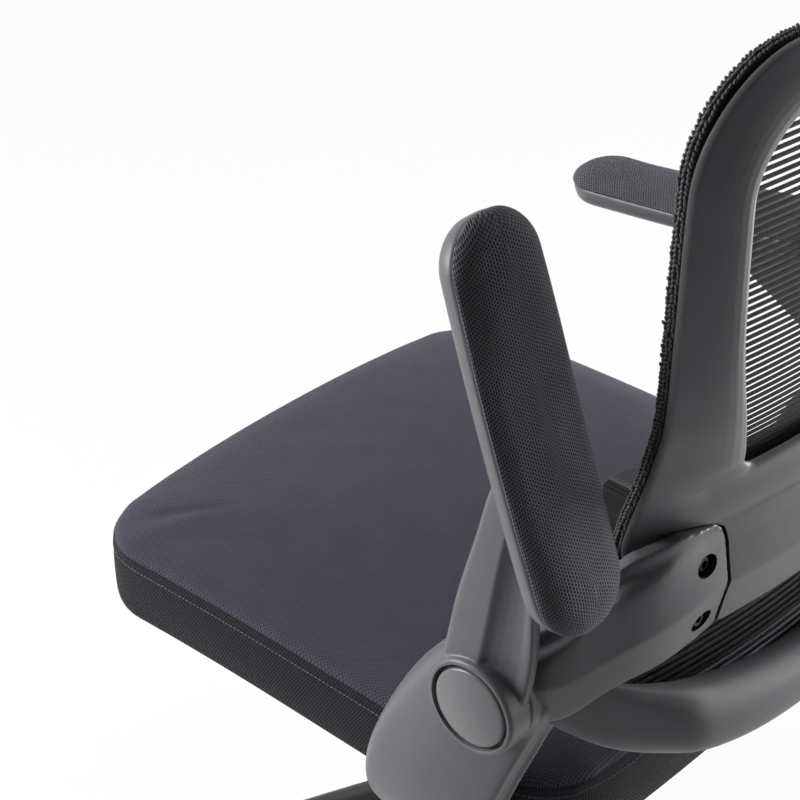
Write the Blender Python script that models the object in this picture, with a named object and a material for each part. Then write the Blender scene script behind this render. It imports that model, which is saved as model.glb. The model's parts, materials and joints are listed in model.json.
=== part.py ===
"""Office chair with flip-up arms and a mesh back, as separate solids.

Metres, +Z up. The chair faces -Y, the sitter's left is +X, and the origin is on the floor under the lift.
"""
import math

import bpy
import bmesh
from mathutils import Matrix, Vector

# Fits
GAP = 0.0003
RUNNING_GAP = 0.0003
THROUGH = 0.01

# Star base
LEG_COUNT = 5
LEG_FIRST_ANGLE = 36.0
LEG_REACH = 0.300
LEG_END_TOP = 0.094
LEG_ROOT_TOP = 0.146
LEG_ROOT_BOTTOM = 0.096
LEG_ROOT_HALF_WIDTH = 0.027
LEG_END_HALF_WIDTH = 0.017
LEG_EDGE = 0.006
BASE_HUB_RADIUS = 0.049
BASE_HUB_BOTTOM = 0.076
BASE_HUB_TOP = 0.150
BASE_HUB_TAPER = 0.005
CASTER_BOSS_RADIUS = 0.021
BOSS_PROUD = 0.002

# Casters
WHEEL_RADIUS = 0.025
WHEEL_WIDTH = 0.018
WHEEL_EDGE = 0.004
WHEEL_DISH = 0.004
AXLE_RADIUS = 0.003
CASTER_TRAIL = 0.018
HOOD_WEB = 0.009
HOOD_WALL = 0.0026
HOOD_TO_WHEEL = 0.0018
HOOD_SPREAD = 62.0
HOOD_WEB_SPREAD = 57.0
HOOD_BOSS_RADIUS = 0.0105
HOOD_BOSS_HEIGHT = 0.013
HOOD_BOSS_SUNK = 0.003
HOOD_FOOT_HALF_WIDTH = 0.010
HOOD_FOOT_DROP = 0.008
WHEEL_SIDES = 14
STEM_RADIUS = 0.0055
STEM_INTO_LEG = 0.020
STEM_INTO_HOOD = 0.010
STEM_COLLAR = 0.0015

# Gas lift
LIFT_TUBE_RADIUS = 0.025
LIFT_TUBE_WALL = 0.0025
LIFT_TUBE_BOTTOM = 0.048
LIFT_TUBE_LENGTH = 0.214
LIFT_FLOOR = 0.004
LIFT_TUBE_CHAMFER = 0.002
LIFT_CYLINDER_RADIUS = 0.014
LIFT_CYLINDER_BOTTOM = 0.072
LIFT_ROD_RADIUS = 0.005
LIFT_ROD_TOP = 0.290
LIFT_BUSH_LENGTH = 0.050
LIFT_BUSH_FLANGE = 0.004
LIFT_CLIP_RADIUS = 0.009
LIFT_CLIP_THICKNESS = 0.003
BEARING_RADIUS = 0.013
BEARING_THICKNESS = 0.005
LIFT_BUTTON_RADIUS = 0.004
LIFT_BUTTON_HEIGHT = 0.003
LIFT_EDGE = 0.001
LIFT_VENT_RADIUS = 0.0008
LIFT_HEAD_ROOM = 0.004

# Tilt mechanism
PLATE_THICKNESS = 0.004
PLATE_HALF_WIDTH = 0.098
PLATE_FRONT = -0.120
PLATE_REAR = 0.130
PLATE_CORNER = 0.020
EAR_THICKNESS = 0.004
EAR_RADIUS = 0.015
EAR_ROOT_HALF_WIDTH = 0.024
TILT_Y = -0.030
TILT_DROP = 0.020
TILT_AXLE_RADIUS = 0.006
TILT_AXLE_HEAD = 0.010
TILT_AXLE_HEAD_THICKNESS = 0.004
HOUSING_HALF_WIDTH = 0.055
HOUSING_FRONT = -0.125
HOUSING_REAR = 0.058
HOUSING_HEIGHT = 0.050
HOUSING_TO_PLATE = 0.012
HOUSING_REAR_CUT = 0.024
HOUSING_EDGE = 0.012
HOUSING_REAR_RUN = 0.020
SHOULDER_BEHIND_AXLE = 0.022
SOCKET_RADIUS = 0.026
SOCKET_DROP = 0.010
SOCKET_TAPER = 0.003
KNOB_Y = -0.095
KNOB_RADIUS = 0.026
KNOB_HEIGHT = 0.034
KNOB_FLUTES = 8
KNOB_FLUTE_DEPTH = 0.003
KNOB_EDGE = 0.004
KNOB_BOSS_RADIUS = 0.014
KNOB_BOSS_HEIGHT = 0.012
KNOB_BOLT_RADIUS = 0.005
SPRING_FLOOR = 0.009
SPRING_RADIUS = 0.011
SPRING_WIRE = 0.002
SPRING_TO_POCKET = 0.003
SPRING_TURNS = 4.5
SPRING_PITCH = 0.0062
LEVER_RADIUS = 0.004
LEVER_PRESS_GAP = 0.0065
LEVER_SLOT_RADIUS = 0.0095
LEVER_SLOT_END = 0.012
LEVER_COLLAR_GAP = 0.0004
LEVER_COLLAR_LENGTH = 0.003
LEVER_BELOW_TOP = 0.008
LEVER_TIP = 0.004
LEVER_STRAIGHT = 0.035
LEVER_BEND_RUN = 0.030
LEVER_REACH = 0.245
LEVER_DROP = 0.018
PADDLE_LENGTH = 0.070
PADDLE_WIDTH = 0.026
PADDLE_THICKNESS = 0.009

# Seat
SEAT_SEAM_Z = 0.425
SEAT_FRONT_HALF_WIDTH = 0.244
SEAT_REAR_HALF_WIDTH = 0.2425
SEAT_FRONT = -0.240
SEAT_REAR = 0.254
SEAT_FRONT_RADIUS = 0.056
SEAT_REAR_RADIUS = 0.056
SEAT_LEAST_RADIUS = 0.020
SEAT_FRONT_BOW = 0.014
SEAT_REAR_BOW = 0.006
SEAT_BAND = 0.058
SEAT_CROWN = 0.022
SEAT_DRAW_IN = 0.004
SEAT_ROLL = 0.008
SEAT_CROWN_STOPS = [(0.006, 0.28), (0.030, 0.52), (0.080, 0.80), (0.150, 1.0)]
PAN_THICKNESS = 0.014
PAN_INSET = 0.012
PAN_EDGE = 0.004

# Arms: the pad is given from the hub's axis with the arm level
HUB_Y = 0.2184
HUB_Z = 0.5259
HUB_RADIUS = 0.0365
HUB_OUTER_X = 0.2894
HUB_SPLIT_X = 0.2680
HUB_INNER_X = 0.2385
CAP_RADIUS = 0.0305
CAP_DEPTH = 0.0070
CAP_DOME = 0.0035
CAP_GAP = 0.0012
CAP_SUNK = 0.001
CAP_EDGE = 0.0012
PIN_RADIUS = 0.008
PAD_CENTRE_X = 0.277
PAD_REAR = -0.0706
PAD_LENGTH = 0.270
PAD_REAR_WIDTH = 0.0814
PAD_FRONT_WIDTH = 0.0720
PAD_REAR_RADIUS = 0.036
PAD_FRONT_RADIUS = 0.032
PAD_BASE_TOP = 0.1132
PAD_BASE_DEPTH = 0.0215
PAD_CUSHION = 0.0135
PAD_LEAST_RADIUS = 0.004
PAD_STOPS = [(0.0015, 0.0), (0.0, 0.15), (0.0008, 0.35), (0.0050, 0.68), (0.0140, 0.90), (0.0270, 1.0)]
PAD_BASE_STOPS = [(0.020, 0.0), (0.012, 0.14), (0.005, 0.37), (0.0022, 0.65), (0.0012, 1.0)]
LINK_THICKNESS = 0.016
LINK_FRONT = [(-0.018, -0.030), (-0.048, -0.012), (-0.088, 0.013), (-0.128, 0.042), (-0.162, 0.066)]
LINK_REAR = [(0.030, 0.008), (0.000, 0.036), (-0.036, 0.056), (-0.074, 0.070), (-0.096, 0.080)]
LINK_TOP_FRONT = -0.190
LINK_TOP_REAR = -0.108
LINK_SECTION = [(0.0, 0.004), (0.08, 0.0), (0.45, 0.0), (0.50, 0.005), (0.95, 0.006), (1.0, 0.009)]
HUB_EDGE = 0.002
PIN_END_WALL = 0.0035
ARM_DOWN_ANGLE = -6.2
ARM_FLIP = 75.85

# Arm brackets
FLANGE_THICKNESS = 0.012
FLANGE_ENDS = [(0.227, 0.104), (0.108, 0.094)]
LEG_FOOT_Y = 0.1535
# Down the leg: middle x, y and z, width along Y, thickness, and lean of the thickness in degrees
LEG_STATIONS = [(0.2530, 0.2140, 0.548, 0.060, 0.026, 0.0), (0.2530, 0.2100, HUB_Z, 0.096, 0.026, 0.0),
                (0.2535, 0.1905, 0.490, 0.109, 0.027, 2.0), (0.2600, 0.1745, 0.452, 0.114, 0.026, 6.0),
                (0.2640, 0.1625, 0.415, 0.115, 0.025, -2.0), (0.2610, 0.1550, 0.381, 0.112, 0.024, -22.0),
                (0.2480, LEG_FOOT_Y, 0.356, 0.108, 0.020, -52.0)]
BRANCH_END_X = 0.152
BRANCH_END_Y = 0.315
BRANCH_END_Z = 0.6175
BRANCH_END_HEIGHT = 0.085
BRANCH_THICKNESS = 0.012
BRANCH_CREASE = 0.036
BRANCH_START_X = 0.2515
BRANCH_BEND = (0.252, 0.321)
# Along the branch, by its share from the hub to the end
BRANCH_RISES = [(0.0, HUB_Z), (0.25, 0.560), (0.45, 0.598), (0.6, 0.608), (1.0, BRANCH_END_Z)]
BRANCH_HEIGHTS = [(0.0, 0.066), (0.25, 0.088), (0.45, 0.102), (0.6, 0.097), (1.0, BRANCH_END_HEIGHT)]
BRANCH_THICKNESSES = [(0.0, 0.026), (0.5, 0.023), (1.0, BRANCH_THICKNESS)]
NOTCH_GAP = 0.0008
SCREW_X = 0.1725
SCREW_ABOVE = 0.011
SCREW_BELOW = 0.0335
SCREW_HEAD_RADIUS = 0.0056
SCREW_HEAD_HEIGHT = 0.003
SCREW_SHANK_RADIUS = 0.0024
SCREW_LENGTH = 0.0145
SCREW_RECESS = 0.010
COUNTERBORE_RADIUS = 0.0073

# Back
BACK_TOP = 1.003
BACK_BOTTOM = 0.466
BACK_HALF_WIDTH = 0.243
BACK_WAIST_HALF_WIDTH = 0.212
BACK_WAIST_Z = 0.600
BACK_TOP_RADIUS = 0.078
BACK_BOTTOM_RADIUS = 0.070
BACK_DISH = 0.030
BACK_TOP_DISH = 0.021
BACK_DISH_Z = 0.800
# By height: how far back the side edge is, half the back's width, and the width of the shell's side panels
BACK_EDGE_STOPS = [(0.40, 0.284), (0.47, 0.274), (0.55, 0.266), (0.634, 0.267), (0.72, 0.290), (0.82, 0.305),
                   (0.91, 0.312), (1.01, 0.318)]
BACK_WIDTH_STOPS = [(BACK_BOTTOM, 0.222), (0.53, 0.220), (BACK_WAIST_Z, BACK_WAIST_HALF_WIDTH), (0.70, 0.220),
                    (0.82, 0.236), (0.92, BACK_HALF_WIDTH), (BACK_TOP, BACK_HALF_WIDTH)]
PANEL_WIDTH_STOPS = [(0.70, 0.062), (0.80, 0.047), (0.90, 0.042), (0.96, 0.042)]
MESH_FRAME_WIDTH = 0.012
MESH_FRAME_DEPTH = 0.010
MESH_FRAME_EDGE = 0.003
MESH_FRAME_PROUD = 0.001
MESH_FRAME_GAP = 0.0014
MESH_THICKNESS = 0.002
MESH_ROWS = 24
MESH_STRAND = 0.009
MESH_COLUMNS = 6
SHELL_GAP = 0.0014
PANEL_SECTION = [(1.0, 0.011), (0.90, 0.019), (0.55, 0.0135), (0.12, 0.013), (0.0, 0.006)]
BEAM_SECTION = [(1.0, 0.011), (0.88, 0.0145), (0.67, 0.0265), (0.23, 0.0280), (0.0, 0.016)]
SHELL_STEP = 0.002
BEAM_START_Z = 0.7165
BEAM_BLEND = 0.060
CROSSBAR_THICKNESS = 0.027
CROSSBAR_BOTTOM = 0.576
OPENING_BOTTOM = 0.6965
OPENING_TOP = 0.962
OPENING_TOP_RADIUS = 0.055
OPENING_BOTTOM_RADIUS = 0.018
LOOP_HEIGHT = 0.050
LOOP_DEPTH = 0.034
LOOP_PATH = [(0.0, 0.0), (0.05, 0.001), (0.10, 0.007), (0.14, 0.0145), (0.17, 0.0245), (0.202, 0.037),
             (0.222, 0.053), (0.226, 0.078), (0.215, 0.106), (0.198, 0.125)]
LOOP_SECTION = [(-0.75, 0.0), (0.0, 0.0), (0.75, 0.0), (1.0, 0.28), (0.95, 0.62), (0.6, 0.92), (0.0, 1.0),
                (-0.6, 0.92), (-0.95, 0.62), (-1.0, 0.28)]
LOOP_END_SHARE = 0.7
LOOP_Z = 0.474
LUMBAR_BOTTOM = 0.505
LUMBAR_TOP = 0.658
LUMBAR_HALF_WIDTH = 0.182
LUMBAR_RADIUS = 0.045
LUMBAR_THICKNESS = 0.030
LUMBAR_EDGE = 0.010
LUMBAR_REST = -0.0018
LUMBAR_SECTIONS = 15

# Finishes: colour, roughness, metallic
SATIN_PLASTIC = ((0.115, 0.115, 0.120), 0.42, 0.0)
BLACK_PLASTIC = ((0.030, 0.030, 0.032), 0.50, 0.0)
CAP_PLASTIC = ((0.160, 0.160, 0.165), 0.22, 0.0)
SEAT_FABRIC = ((0.030, 0.029, 0.036), 0.90, 0.0)
PAD_FABRIC = ((0.026, 0.026, 0.028), 0.90, 0.0)
MESH_FABRIC = ((0.018, 0.018, 0.019), 0.80, 0.0)
BLACK_STEEL = ((0.030, 0.030, 0.030), 0.40, 0.6)
BRIGHT_STEEL = ((0.560, 0.560, 0.570), 0.25, 1.0)


# Building tools

def clear_scene():
    for item in list(bpy.data.objects):
        bpy.data.objects.remove(item, do_unlink=True)


def dress(item, finish):
    colour, roughness, metallic = finish
    material = bpy.data.materials.new(item.name + "_finish")
    material.use_nodes = True
    shader = material.node_tree.nodes["Principled BSDF"]
    shader.inputs["Base Color"].default_value = (*colour, 1.0)
    shader.inputs["Roughness"].default_value = roughness
    shader.inputs["Metallic"].default_value = metallic
    item.data.materials.clear()
    item.data.materials.append(material)


def from_bmesh(name, bm):
    bmesh.ops.remove_doubles(bm, verts=bm.verts, dist=0.00001)
    bmesh.ops.triangulate(bm, faces=bm.faces)
    bmesh.ops.recalc_face_normals(bm, faces=bm.faces)
    mesh = bpy.data.meshes.new(name)
    bm.to_mesh(mesh)
    bm.free()
    item = bpy.data.objects.new(name, mesh)
    bpy.context.collection.objects.link(item)
    return item


def finish_piece(item, finish, origin=(0.0, 0.0, 0.0), parent=None):
    """Gives the piece its material and moves its origin to the point that it turns about."""
    item.data.transform(Matrix.Translation(-Vector(origin)))
    if parent is None:
        item.location = origin
    else:
        item.parent = parent
    item.data.shade_smooth()
    item.data.set_sharp_from_angle(angle=math.radians(35))
    dress(item, finish)
    return item


def pivot(name, location, rotation=(0.0, 0.0, 0.0)):
    empty = bpy.data.objects.new(name, None)
    empty.location = location
    empty.rotation_euler = rotation
    bpy.context.collection.objects.link(empty)
    return empty


def boolean(target, tool, operation):
    bpy.context.view_layer.update()
    modifier = target.modifiers.new(operation.lower(), "BOOLEAN")
    modifier.operation = operation
    modifier.solver = "EXACT"
    modifier.object = tool
    graph = bpy.context.evaluated_depsgraph_get()
    mesh = bpy.data.meshes.new_from_object(target.evaluated_get(graph))
    target.modifiers.clear()
    target.data = mesh
    bpy.data.objects.remove(tool, do_unlink=True)
    return target


def join(target, *tools):
    for tool in tools:
        boolean(target, tool, "UNION")
    return target


def cut(target, *tools):
    for tool in tools:
        boolean(target, tool, "DIFFERENCE")
    return target


def loft(name, rings, closed=False):
    """Skins rings that all have as many points, with flat ends or closed into a loop."""
    bm = bmesh.new()
    rows = [[bm.verts.new(point) for point in ring] for ring in rings]
    count = len(rows[0])
    pairs = list(zip(rows, rows[1:]))
    if closed:
        pairs.append((rows[-1], rows[0]))
    for low, high in pairs:
        for i in range(count):
            j = (i + 1) % count
            bm.faces.new((low[i], low[j], high[j], high[i]))
    if not closed:
        bm.faces.new(list(reversed(rows[0])))
        bm.faces.new(rows[-1])
    return from_bmesh(name, bm)


def turned(name, profile, segments, centre, axis="Z", hollow=False):
    """Turns a profile of (radius, height) pairs about an axis through the centre."""
    middle = Vector(centre)
    rings = []
    for radius, height in profile:
        ring = []
        for i in range(segments):
            angle = 2 * math.pi * (i + 0.5) / segments
            across = radius * math.cos(angle)
            along = radius * math.sin(angle)
            if axis == "Z":
                ring.append(middle + Vector((across, along, height)))
            elif axis == "X":
                ring.append(middle + Vector((height, across, along)))
            else:
                ring.append(middle + Vector((along, height, across)))
        rings.append(ring)
    return loft(name, rings, closed=hollow)


def drill(radius, start, end, sides, centre, axis="Z"):
    """A straight round tool for joining or cutting."""
    return turned("drill", [(radius, start), (radius, end)], sides, centre, axis)


def bore(shaft, gap, sides):
    """Corner radius of a many-sided bore whose flats clear a round shaft by the gap."""
    return (shaft + gap) / math.cos(math.pi / sides)


def rounded(corners, steps, runs=1):
    """An outline with arcs at its corners, given as (x, y, radius), and each straight run in equal parts."""
    arcs = []
    count = len(corners)
    for i, (x, y, radius) in enumerate(corners):
        here = Vector((x, y))
        before = (Vector(corners[i - 1][:2]) - here).normalized()
        after = (Vector(corners[(i + 1) % count][:2]) - here).normalized()
        half = before.angle(after) / 2
        reach = radius / math.tan(half)
        middle = here + (before + after).normalized() * (radius / math.sin(half))
        first = here + before * reach - middle
        last = here + after * reach - middle
        sweep = first.angle_signed(last)
        arcs.append([middle + Matrix.Rotation(-sweep * k / steps, 2) @ first for k in range(steps + 1)])
    points = []
    for i, arc in enumerate(arcs):
        points += arc
        following = arcs[(i + 1) % count][0]
        points += [arc[-1].lerp(following, k / runs) for k in range(1, runs)]
    return points


def prism(name, outline, place):
    """Two copies of an outline, each placed by a function of its point and end, skinned together."""
    return loft(name, [[place(point, end) for point in outline] for end in (0, 1)])


def smooth_curve(stops, position):
    """Reads a smooth curve through (position, value) stops."""
    keys = [stop[0] for stop in stops]
    if position <= keys[0]:
        return stops[0][1]
    if position >= keys[-1]:
        return stops[-1][1]
    i = max(k for k in range(len(keys) - 1) if keys[k] <= position)
    span = keys[i + 1] - keys[i]
    share = (position - keys[i]) / span
    before = max(i - 1, 0)
    after = min(i + 2, len(keys) - 1)
    slope_a = (stops[i + 1][1] - stops[before][1]) / (keys[i + 1] - keys[before]) * span
    slope_b = (stops[after][1] - stops[i][1]) / (keys[after] - keys[i]) * span
    a = stops[i][1]
    b = stops[i + 1][1]
    square = share * share
    cube = square * share
    return (a * (2 * cube - 3 * square + 1) + slope_a * (cube - 2 * square + share)
            + b * (3 * square - 2 * cube) + slope_b * (cube - square))


def mirrored(item):
    """Reflects a piece across the chair's middle."""
    item.data.transform(Matrix.Scale(-1, 4, (1, 0, 0)))
    item.data.flip_normals()
    return item


# Star base and casters

CASTER_HEIGHT = 2 * WHEEL_RADIUS + HOOD_TO_WHEEL + HOOD_WALL + HOOD_BOSS_HEIGHT - HOOD_BOSS_SUNK
LEG_END_BOTTOM = CASTER_HEIGHT + STEM_COLLAR


def leg_angle(k):
    return math.radians(LEG_FIRST_ANGLE + 360.0 * k / LEG_COUNT)


def make_leg(k):
    turn = Matrix.Rotation(leg_angle(k), 4, "Z")
    rings = []
    for share in (0.0, 0.35, 0.7, 1.0):
        reach = BASE_HUB_RADIUS * 0.5 + (LEG_REACH - BASE_HUB_RADIUS * 0.5) * share
        half = LEG_ROOT_HALF_WIDTH + (LEG_END_HALF_WIDTH - LEG_ROOT_HALF_WIDTH) * share
        top = LEG_ROOT_TOP + (LEG_END_TOP - LEG_ROOT_TOP) * share ** 1.35
        bottom = LEG_ROOT_BOTTOM + (LEG_END_BOTTOM + BOSS_PROUD - LEG_ROOT_BOTTOM) * share ** 0.8
        section = [(half, bottom), (half, top - 2 * LEG_EDGE), (half - LEG_EDGE, top - LEG_EDGE / 2),
                   (0.0, top), (LEG_EDGE - half, top - LEG_EDGE / 2), (-half, top - 2 * LEG_EDGE),
                   (-half, bottom)]
        rings.append([turn @ Vector((reach, across, height)) for across, height in section])
    return loft("leg", rings)


def make_star_base():
    tube_bore = bore(LIFT_TUBE_RADIUS, GAP, 16)
    stem_bore = bore(STEM_RADIUS, RUNNING_GAP, 8)
    top = BASE_HUB_TOP
    hub_end = BASE_HUB_RADIUS - BASE_HUB_TAPER
    hub = turned("star_base", [(hub_end, BASE_HUB_BOTTOM), (BASE_HUB_RADIUS, LEG_ROOT_BOTTOM),
                               (BASE_HUB_RADIUS, LEG_ROOT_TOP - LEG_EDGE), (hub_end, top)], 16, (0, 0, 0))
    for k in range(LEG_COUNT):
        spot = leg_spot(k)
        boss_top = LEG_END_TOP + BOSS_PROUD
        boss = turned("boss", [(CASTER_BOSS_RADIUS, LEG_END_BOTTOM),
                               (CASTER_BOSS_RADIUS, boss_top - LEG_EDGE),
                               (CASTER_BOSS_RADIUS - LEG_EDGE, boss_top)], 10, spot)
        join(hub, make_leg(k), boss)
    for k in range(LEG_COUNT):
        socket_top = LEG_END_BOTTOM + STEM_INTO_LEG + GAP
        cut(hub, drill(stem_bore, LEG_END_BOTTOM - THROUGH, socket_top, 8, leg_spot(k)))
    cut(hub, drill(tube_bore, BASE_HUB_BOTTOM - THROUGH, top + THROUGH, 16, (0, 0, 0)))
    return finish_piece(hub, BLACK_PLASTIC)


def leg_spot(k):
    return Vector((LEG_REACH * math.cos(leg_angle(k)), LEG_REACH * math.sin(leg_angle(k)), 0.0))


def make_hood():
    """Twin-wheel caster hood: a web between the wheels, a curved cover over them and the stem's boss."""
    inner = WHEEL_RADIUS + HOOD_TO_WHEEL
    outer = inner + HOOD_WALL
    half = HOOD_WEB / 2 + GAP + WHEEL_WIDTH
    steps = 5

    def swing(spread):
        return [math.radians(90 - spread + 2 * spread * i / steps) for i in range(steps + 1)]

    arc = swing(HOOD_SPREAD)
    cover = [Vector((outer * math.cos(a), outer * math.sin(a))) for a in arc]
    cover += [Vector((inner * math.cos(a), inner * math.sin(a))) for a in reversed(arc)]
    middle = (inner + outer) / 2
    web = [Vector((middle * math.cos(a), middle * math.sin(a))) for a in swing(HOOD_WEB_SPREAD)]
    web += [Vector((side * HOOD_FOOT_HALF_WIDTH, -HOOD_FOOT_DROP)) for side in (-1, 1)]
    shift = -CASTER_TRAIL

    def place(width):
        return lambda point, end: Vector((point.x + shift, (2 * end - 1) * width, point.y + WHEEL_RADIUS))

    hood = prism("hood", cover, place(half))
    boss_bottom = CASTER_HEIGHT - HOOD_BOSS_HEIGHT
    boss = drill(HOOD_BOSS_RADIUS, boss_bottom, CASTER_HEIGHT, 8, (0, 0, 0))
    join(hood, prism("web", web, place(HOOD_WEB / 2)), boss)
    hole = bore(STEM_RADIUS, GAP, 8)
    axle_hole = bore(AXLE_RADIUS, GAP, 8)
    hole_bottom = CASTER_HEIGHT - STEM_INTO_HOOD - GAP
    cut(hood, drill(hole, hole_bottom, CASTER_HEIGHT + THROUGH, 8, (0, 0, 0)),
        drill(axle_hole, -half, half, 8, (shift, 0, WHEEL_RADIUS), "Y"))
    return hood


def make_casters():
    hood_pattern = make_hood()
    wheel_face = HOOD_WEB / 2 + GAP
    far_face = wheel_face + WHEEL_WIDTH
    wheel_bore = bore(AXLE_RADIUS, RUNNING_GAP, WHEEL_SIDES)
    tread = bore(WHEEL_RADIUS, 0.0, WHEEL_SIDES)
    for k in range(LEG_COUNT):
        name = f"caster_{k + 1}"
        place = leg_spot(k)
        carrier = pivot(name + "_swivel", place, (0, 0, leg_angle(k) + math.pi / 2))
        collar_low = CASTER_HEIGHT + GAP
        collar_high = LEG_END_BOTTOM - GAP
        profile = [(STEM_RADIUS, CASTER_HEIGHT - STEM_INTO_HOOD), (STEM_RADIUS, collar_low),
                   (HOOD_BOSS_RADIUS, collar_low), (HOOD_BOSS_RADIUS, collar_high),
                   (STEM_RADIUS, collar_high), (STEM_RADIUS, LEG_END_BOTTOM + STEM_INTO_LEG)]
        stem = turned(name + "_stem", profile, 8, (0, 0, 0))
        finish_piece(stem, BRIGHT_STEEL, parent=carrier)
        hood = bpy.data.objects.new(name + "_hood", hood_pattern.data.copy())
        bpy.context.collection.objects.link(hood)
        finish_piece(hood, BLACK_PLASTIC, parent=carrier)
        hub = pivot(name + "_axis", (-CASTER_TRAIL, 0, WHEEL_RADIUS))
        hub.parent = carrier
        axle = drill(AXLE_RADIUS, GAP * 2 - far_face, far_face - GAP * 2, 8, (0, 0, 0), "Y")
        axle.name = name + "_axle"
        finish_piece(axle, BRIGHT_STEEL, parent=hub)
        for side, label in ((1, "left"), (-1, "right")):
            profile = [(wheel_bore, wheel_face), (tread - WHEEL_EDGE / 2, wheel_face),
                       (tread, wheel_face + WHEEL_EDGE), (tread, far_face - WHEEL_EDGE),
                       (tread - WHEEL_EDGE, far_face), (wheel_bore, far_face - WHEEL_DISH)]
            profile = [(radius, side * height) for radius, height in profile]
            wheel = turned(f"{name}_wheel_{label}", profile, WHEEL_SIDES, (0, 0, 0), axis="Y", hollow=True)
            finish_piece(wheel, BLACK_PLASTIC, parent=hub)
    bpy.data.objects.remove(hood_pattern, do_unlink=True)


# Gas lift

PAN_TOP = SEAT_SEAM_Z - SEAT_BAND - GAP
PAN_BOTTOM = PAN_TOP - PAN_THICKNESS
PLATE_TOP = PAN_BOTTOM - GAP
PLATE_BOTTOM = PLATE_TOP - PLATE_THICKNESS
TILT_Z = PLATE_BOTTOM - TILT_DROP
HOUSING_TOP = PLATE_BOTTOM - HOUSING_TO_PLATE
HOUSING_BOTTOM = HOUSING_TOP - HOUSING_HEIGHT
LEVER_Z = HOUSING_TOP - LEVER_BELOW_TOP
LIFT_CYLINDER_TOP = LEVER_Z - LEVER_RADIUS - LEVER_PRESS_GAP - LIFT_BUTTON_HEIGHT


def make_gas_lift():
    inside = LIFT_TUBE_RADIUS - LIFT_TUBE_WALL
    tube_top = LIFT_TUBE_BOTTOM + LIFT_TUBE_LENGTH
    floor_top = LIFT_TUBE_BOTTOM + LIFT_FLOOR
    hole = bore(LIFT_ROD_RADIUS, RUNNING_GAP, 14)
    tube = turned("lift_outer_tube", [(hole, LIFT_TUBE_BOTTOM),
                                      (LIFT_TUBE_RADIUS - LIFT_TUBE_CHAMFER, LIFT_TUBE_BOTTOM),
                                      (LIFT_TUBE_RADIUS, LIFT_TUBE_BOTTOM + 2 * LIFT_TUBE_CHAMFER),
                                      (LIFT_TUBE_RADIUS, tube_top), (inside, tube_top), (inside, floor_top),
                                      (hole, floor_top)], 16, (0, 0, 0), hollow=True)
    finish_piece(tube, BLACK_STEEL)

    slide = bore(LIFT_CYLINDER_RADIUS, RUNNING_GAP, 16)
    bush_radius = (inside - GAP) * math.cos(math.pi / 16)
    flange_bottom = tube_top + GAP
    bush_bottom = tube_top - LIFT_BUSH_LENGTH
    flange_top = flange_bottom + LIFT_BUSH_FLANGE
    bush = turned("lift_guide_bush", [(slide, bush_bottom), (bush_radius, bush_bottom),
                                      (bush_radius, flange_bottom), (LIFT_TUBE_RADIUS, flange_bottom),
                                      (LIFT_TUBE_RADIUS - LIFT_EDGE, flange_top), (slide, flange_top)],
                  16, (0, 0, 0), hollow=True)
    finish_piece(bush, BLACK_PLASTIC)

    bearing_low = floor_top + GAP
    bearing_high = bearing_low + BEARING_THICKNESS
    bearing = turned("lift_thrust_bearing", [(hole, bearing_low), (BEARING_RADIUS, bearing_low),
                                             (BEARING_RADIUS, bearing_high), (hole, bearing_high)],
                     14, (0, 0, 0), hollow=True)
    finish_piece(bearing, BRIGHT_STEEL)

    clip_top = LIFT_TUBE_BOTTOM - GAP
    shoulder = bearing_high + GAP
    shoulder_top = shoulder + LIFT_CLIP_THICKNESS
    piston = turned("lift_piston_rod", [(LIFT_CLIP_RADIUS, clip_top - LIFT_CLIP_THICKNESS),
                                        (LIFT_CLIP_RADIUS, clip_top), (LIFT_ROD_RADIUS, clip_top),
                                        (LIFT_ROD_RADIUS, shoulder), (LIFT_CLIP_RADIUS, shoulder),
                                        (LIFT_CLIP_RADIUS, shoulder_top), (LIFT_ROD_RADIUS, shoulder_top),
                                        (LIFT_ROD_RADIUS, LIFT_ROD_TOP)], 10, (0, 0, 0))
    finish_piece(piston, BRIGHT_STEEL)

    top = LIFT_CYLINDER_TOP
    roof = LIFT_ROD_TOP + LIFT_HEAD_ROOM
    button_top = top + LIFT_BUTTON_HEIGHT
    cylinder = turned("lift_cylinder", [(hole, LIFT_CYLINDER_BOTTOM),
                                        (LIFT_CYLINDER_RADIUS, LIFT_CYLINDER_BOTTOM),
                                        (LIFT_CYLINDER_RADIUS, top - LIFT_EDGE),
                                        (LIFT_CYLINDER_RADIUS - LIFT_EDGE, top), (LIFT_BUTTON_RADIUS, top),
                                        (LIFT_BUTTON_RADIUS, button_top), (LIFT_VENT_RADIUS, button_top),
                                        (LIFT_VENT_RADIUS, roof), (hole, roof)], 16, (0, 0, 0), hollow=True)
    finish_piece(cylinder, BRIGHT_STEEL)


# Tilt mechanism

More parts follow.
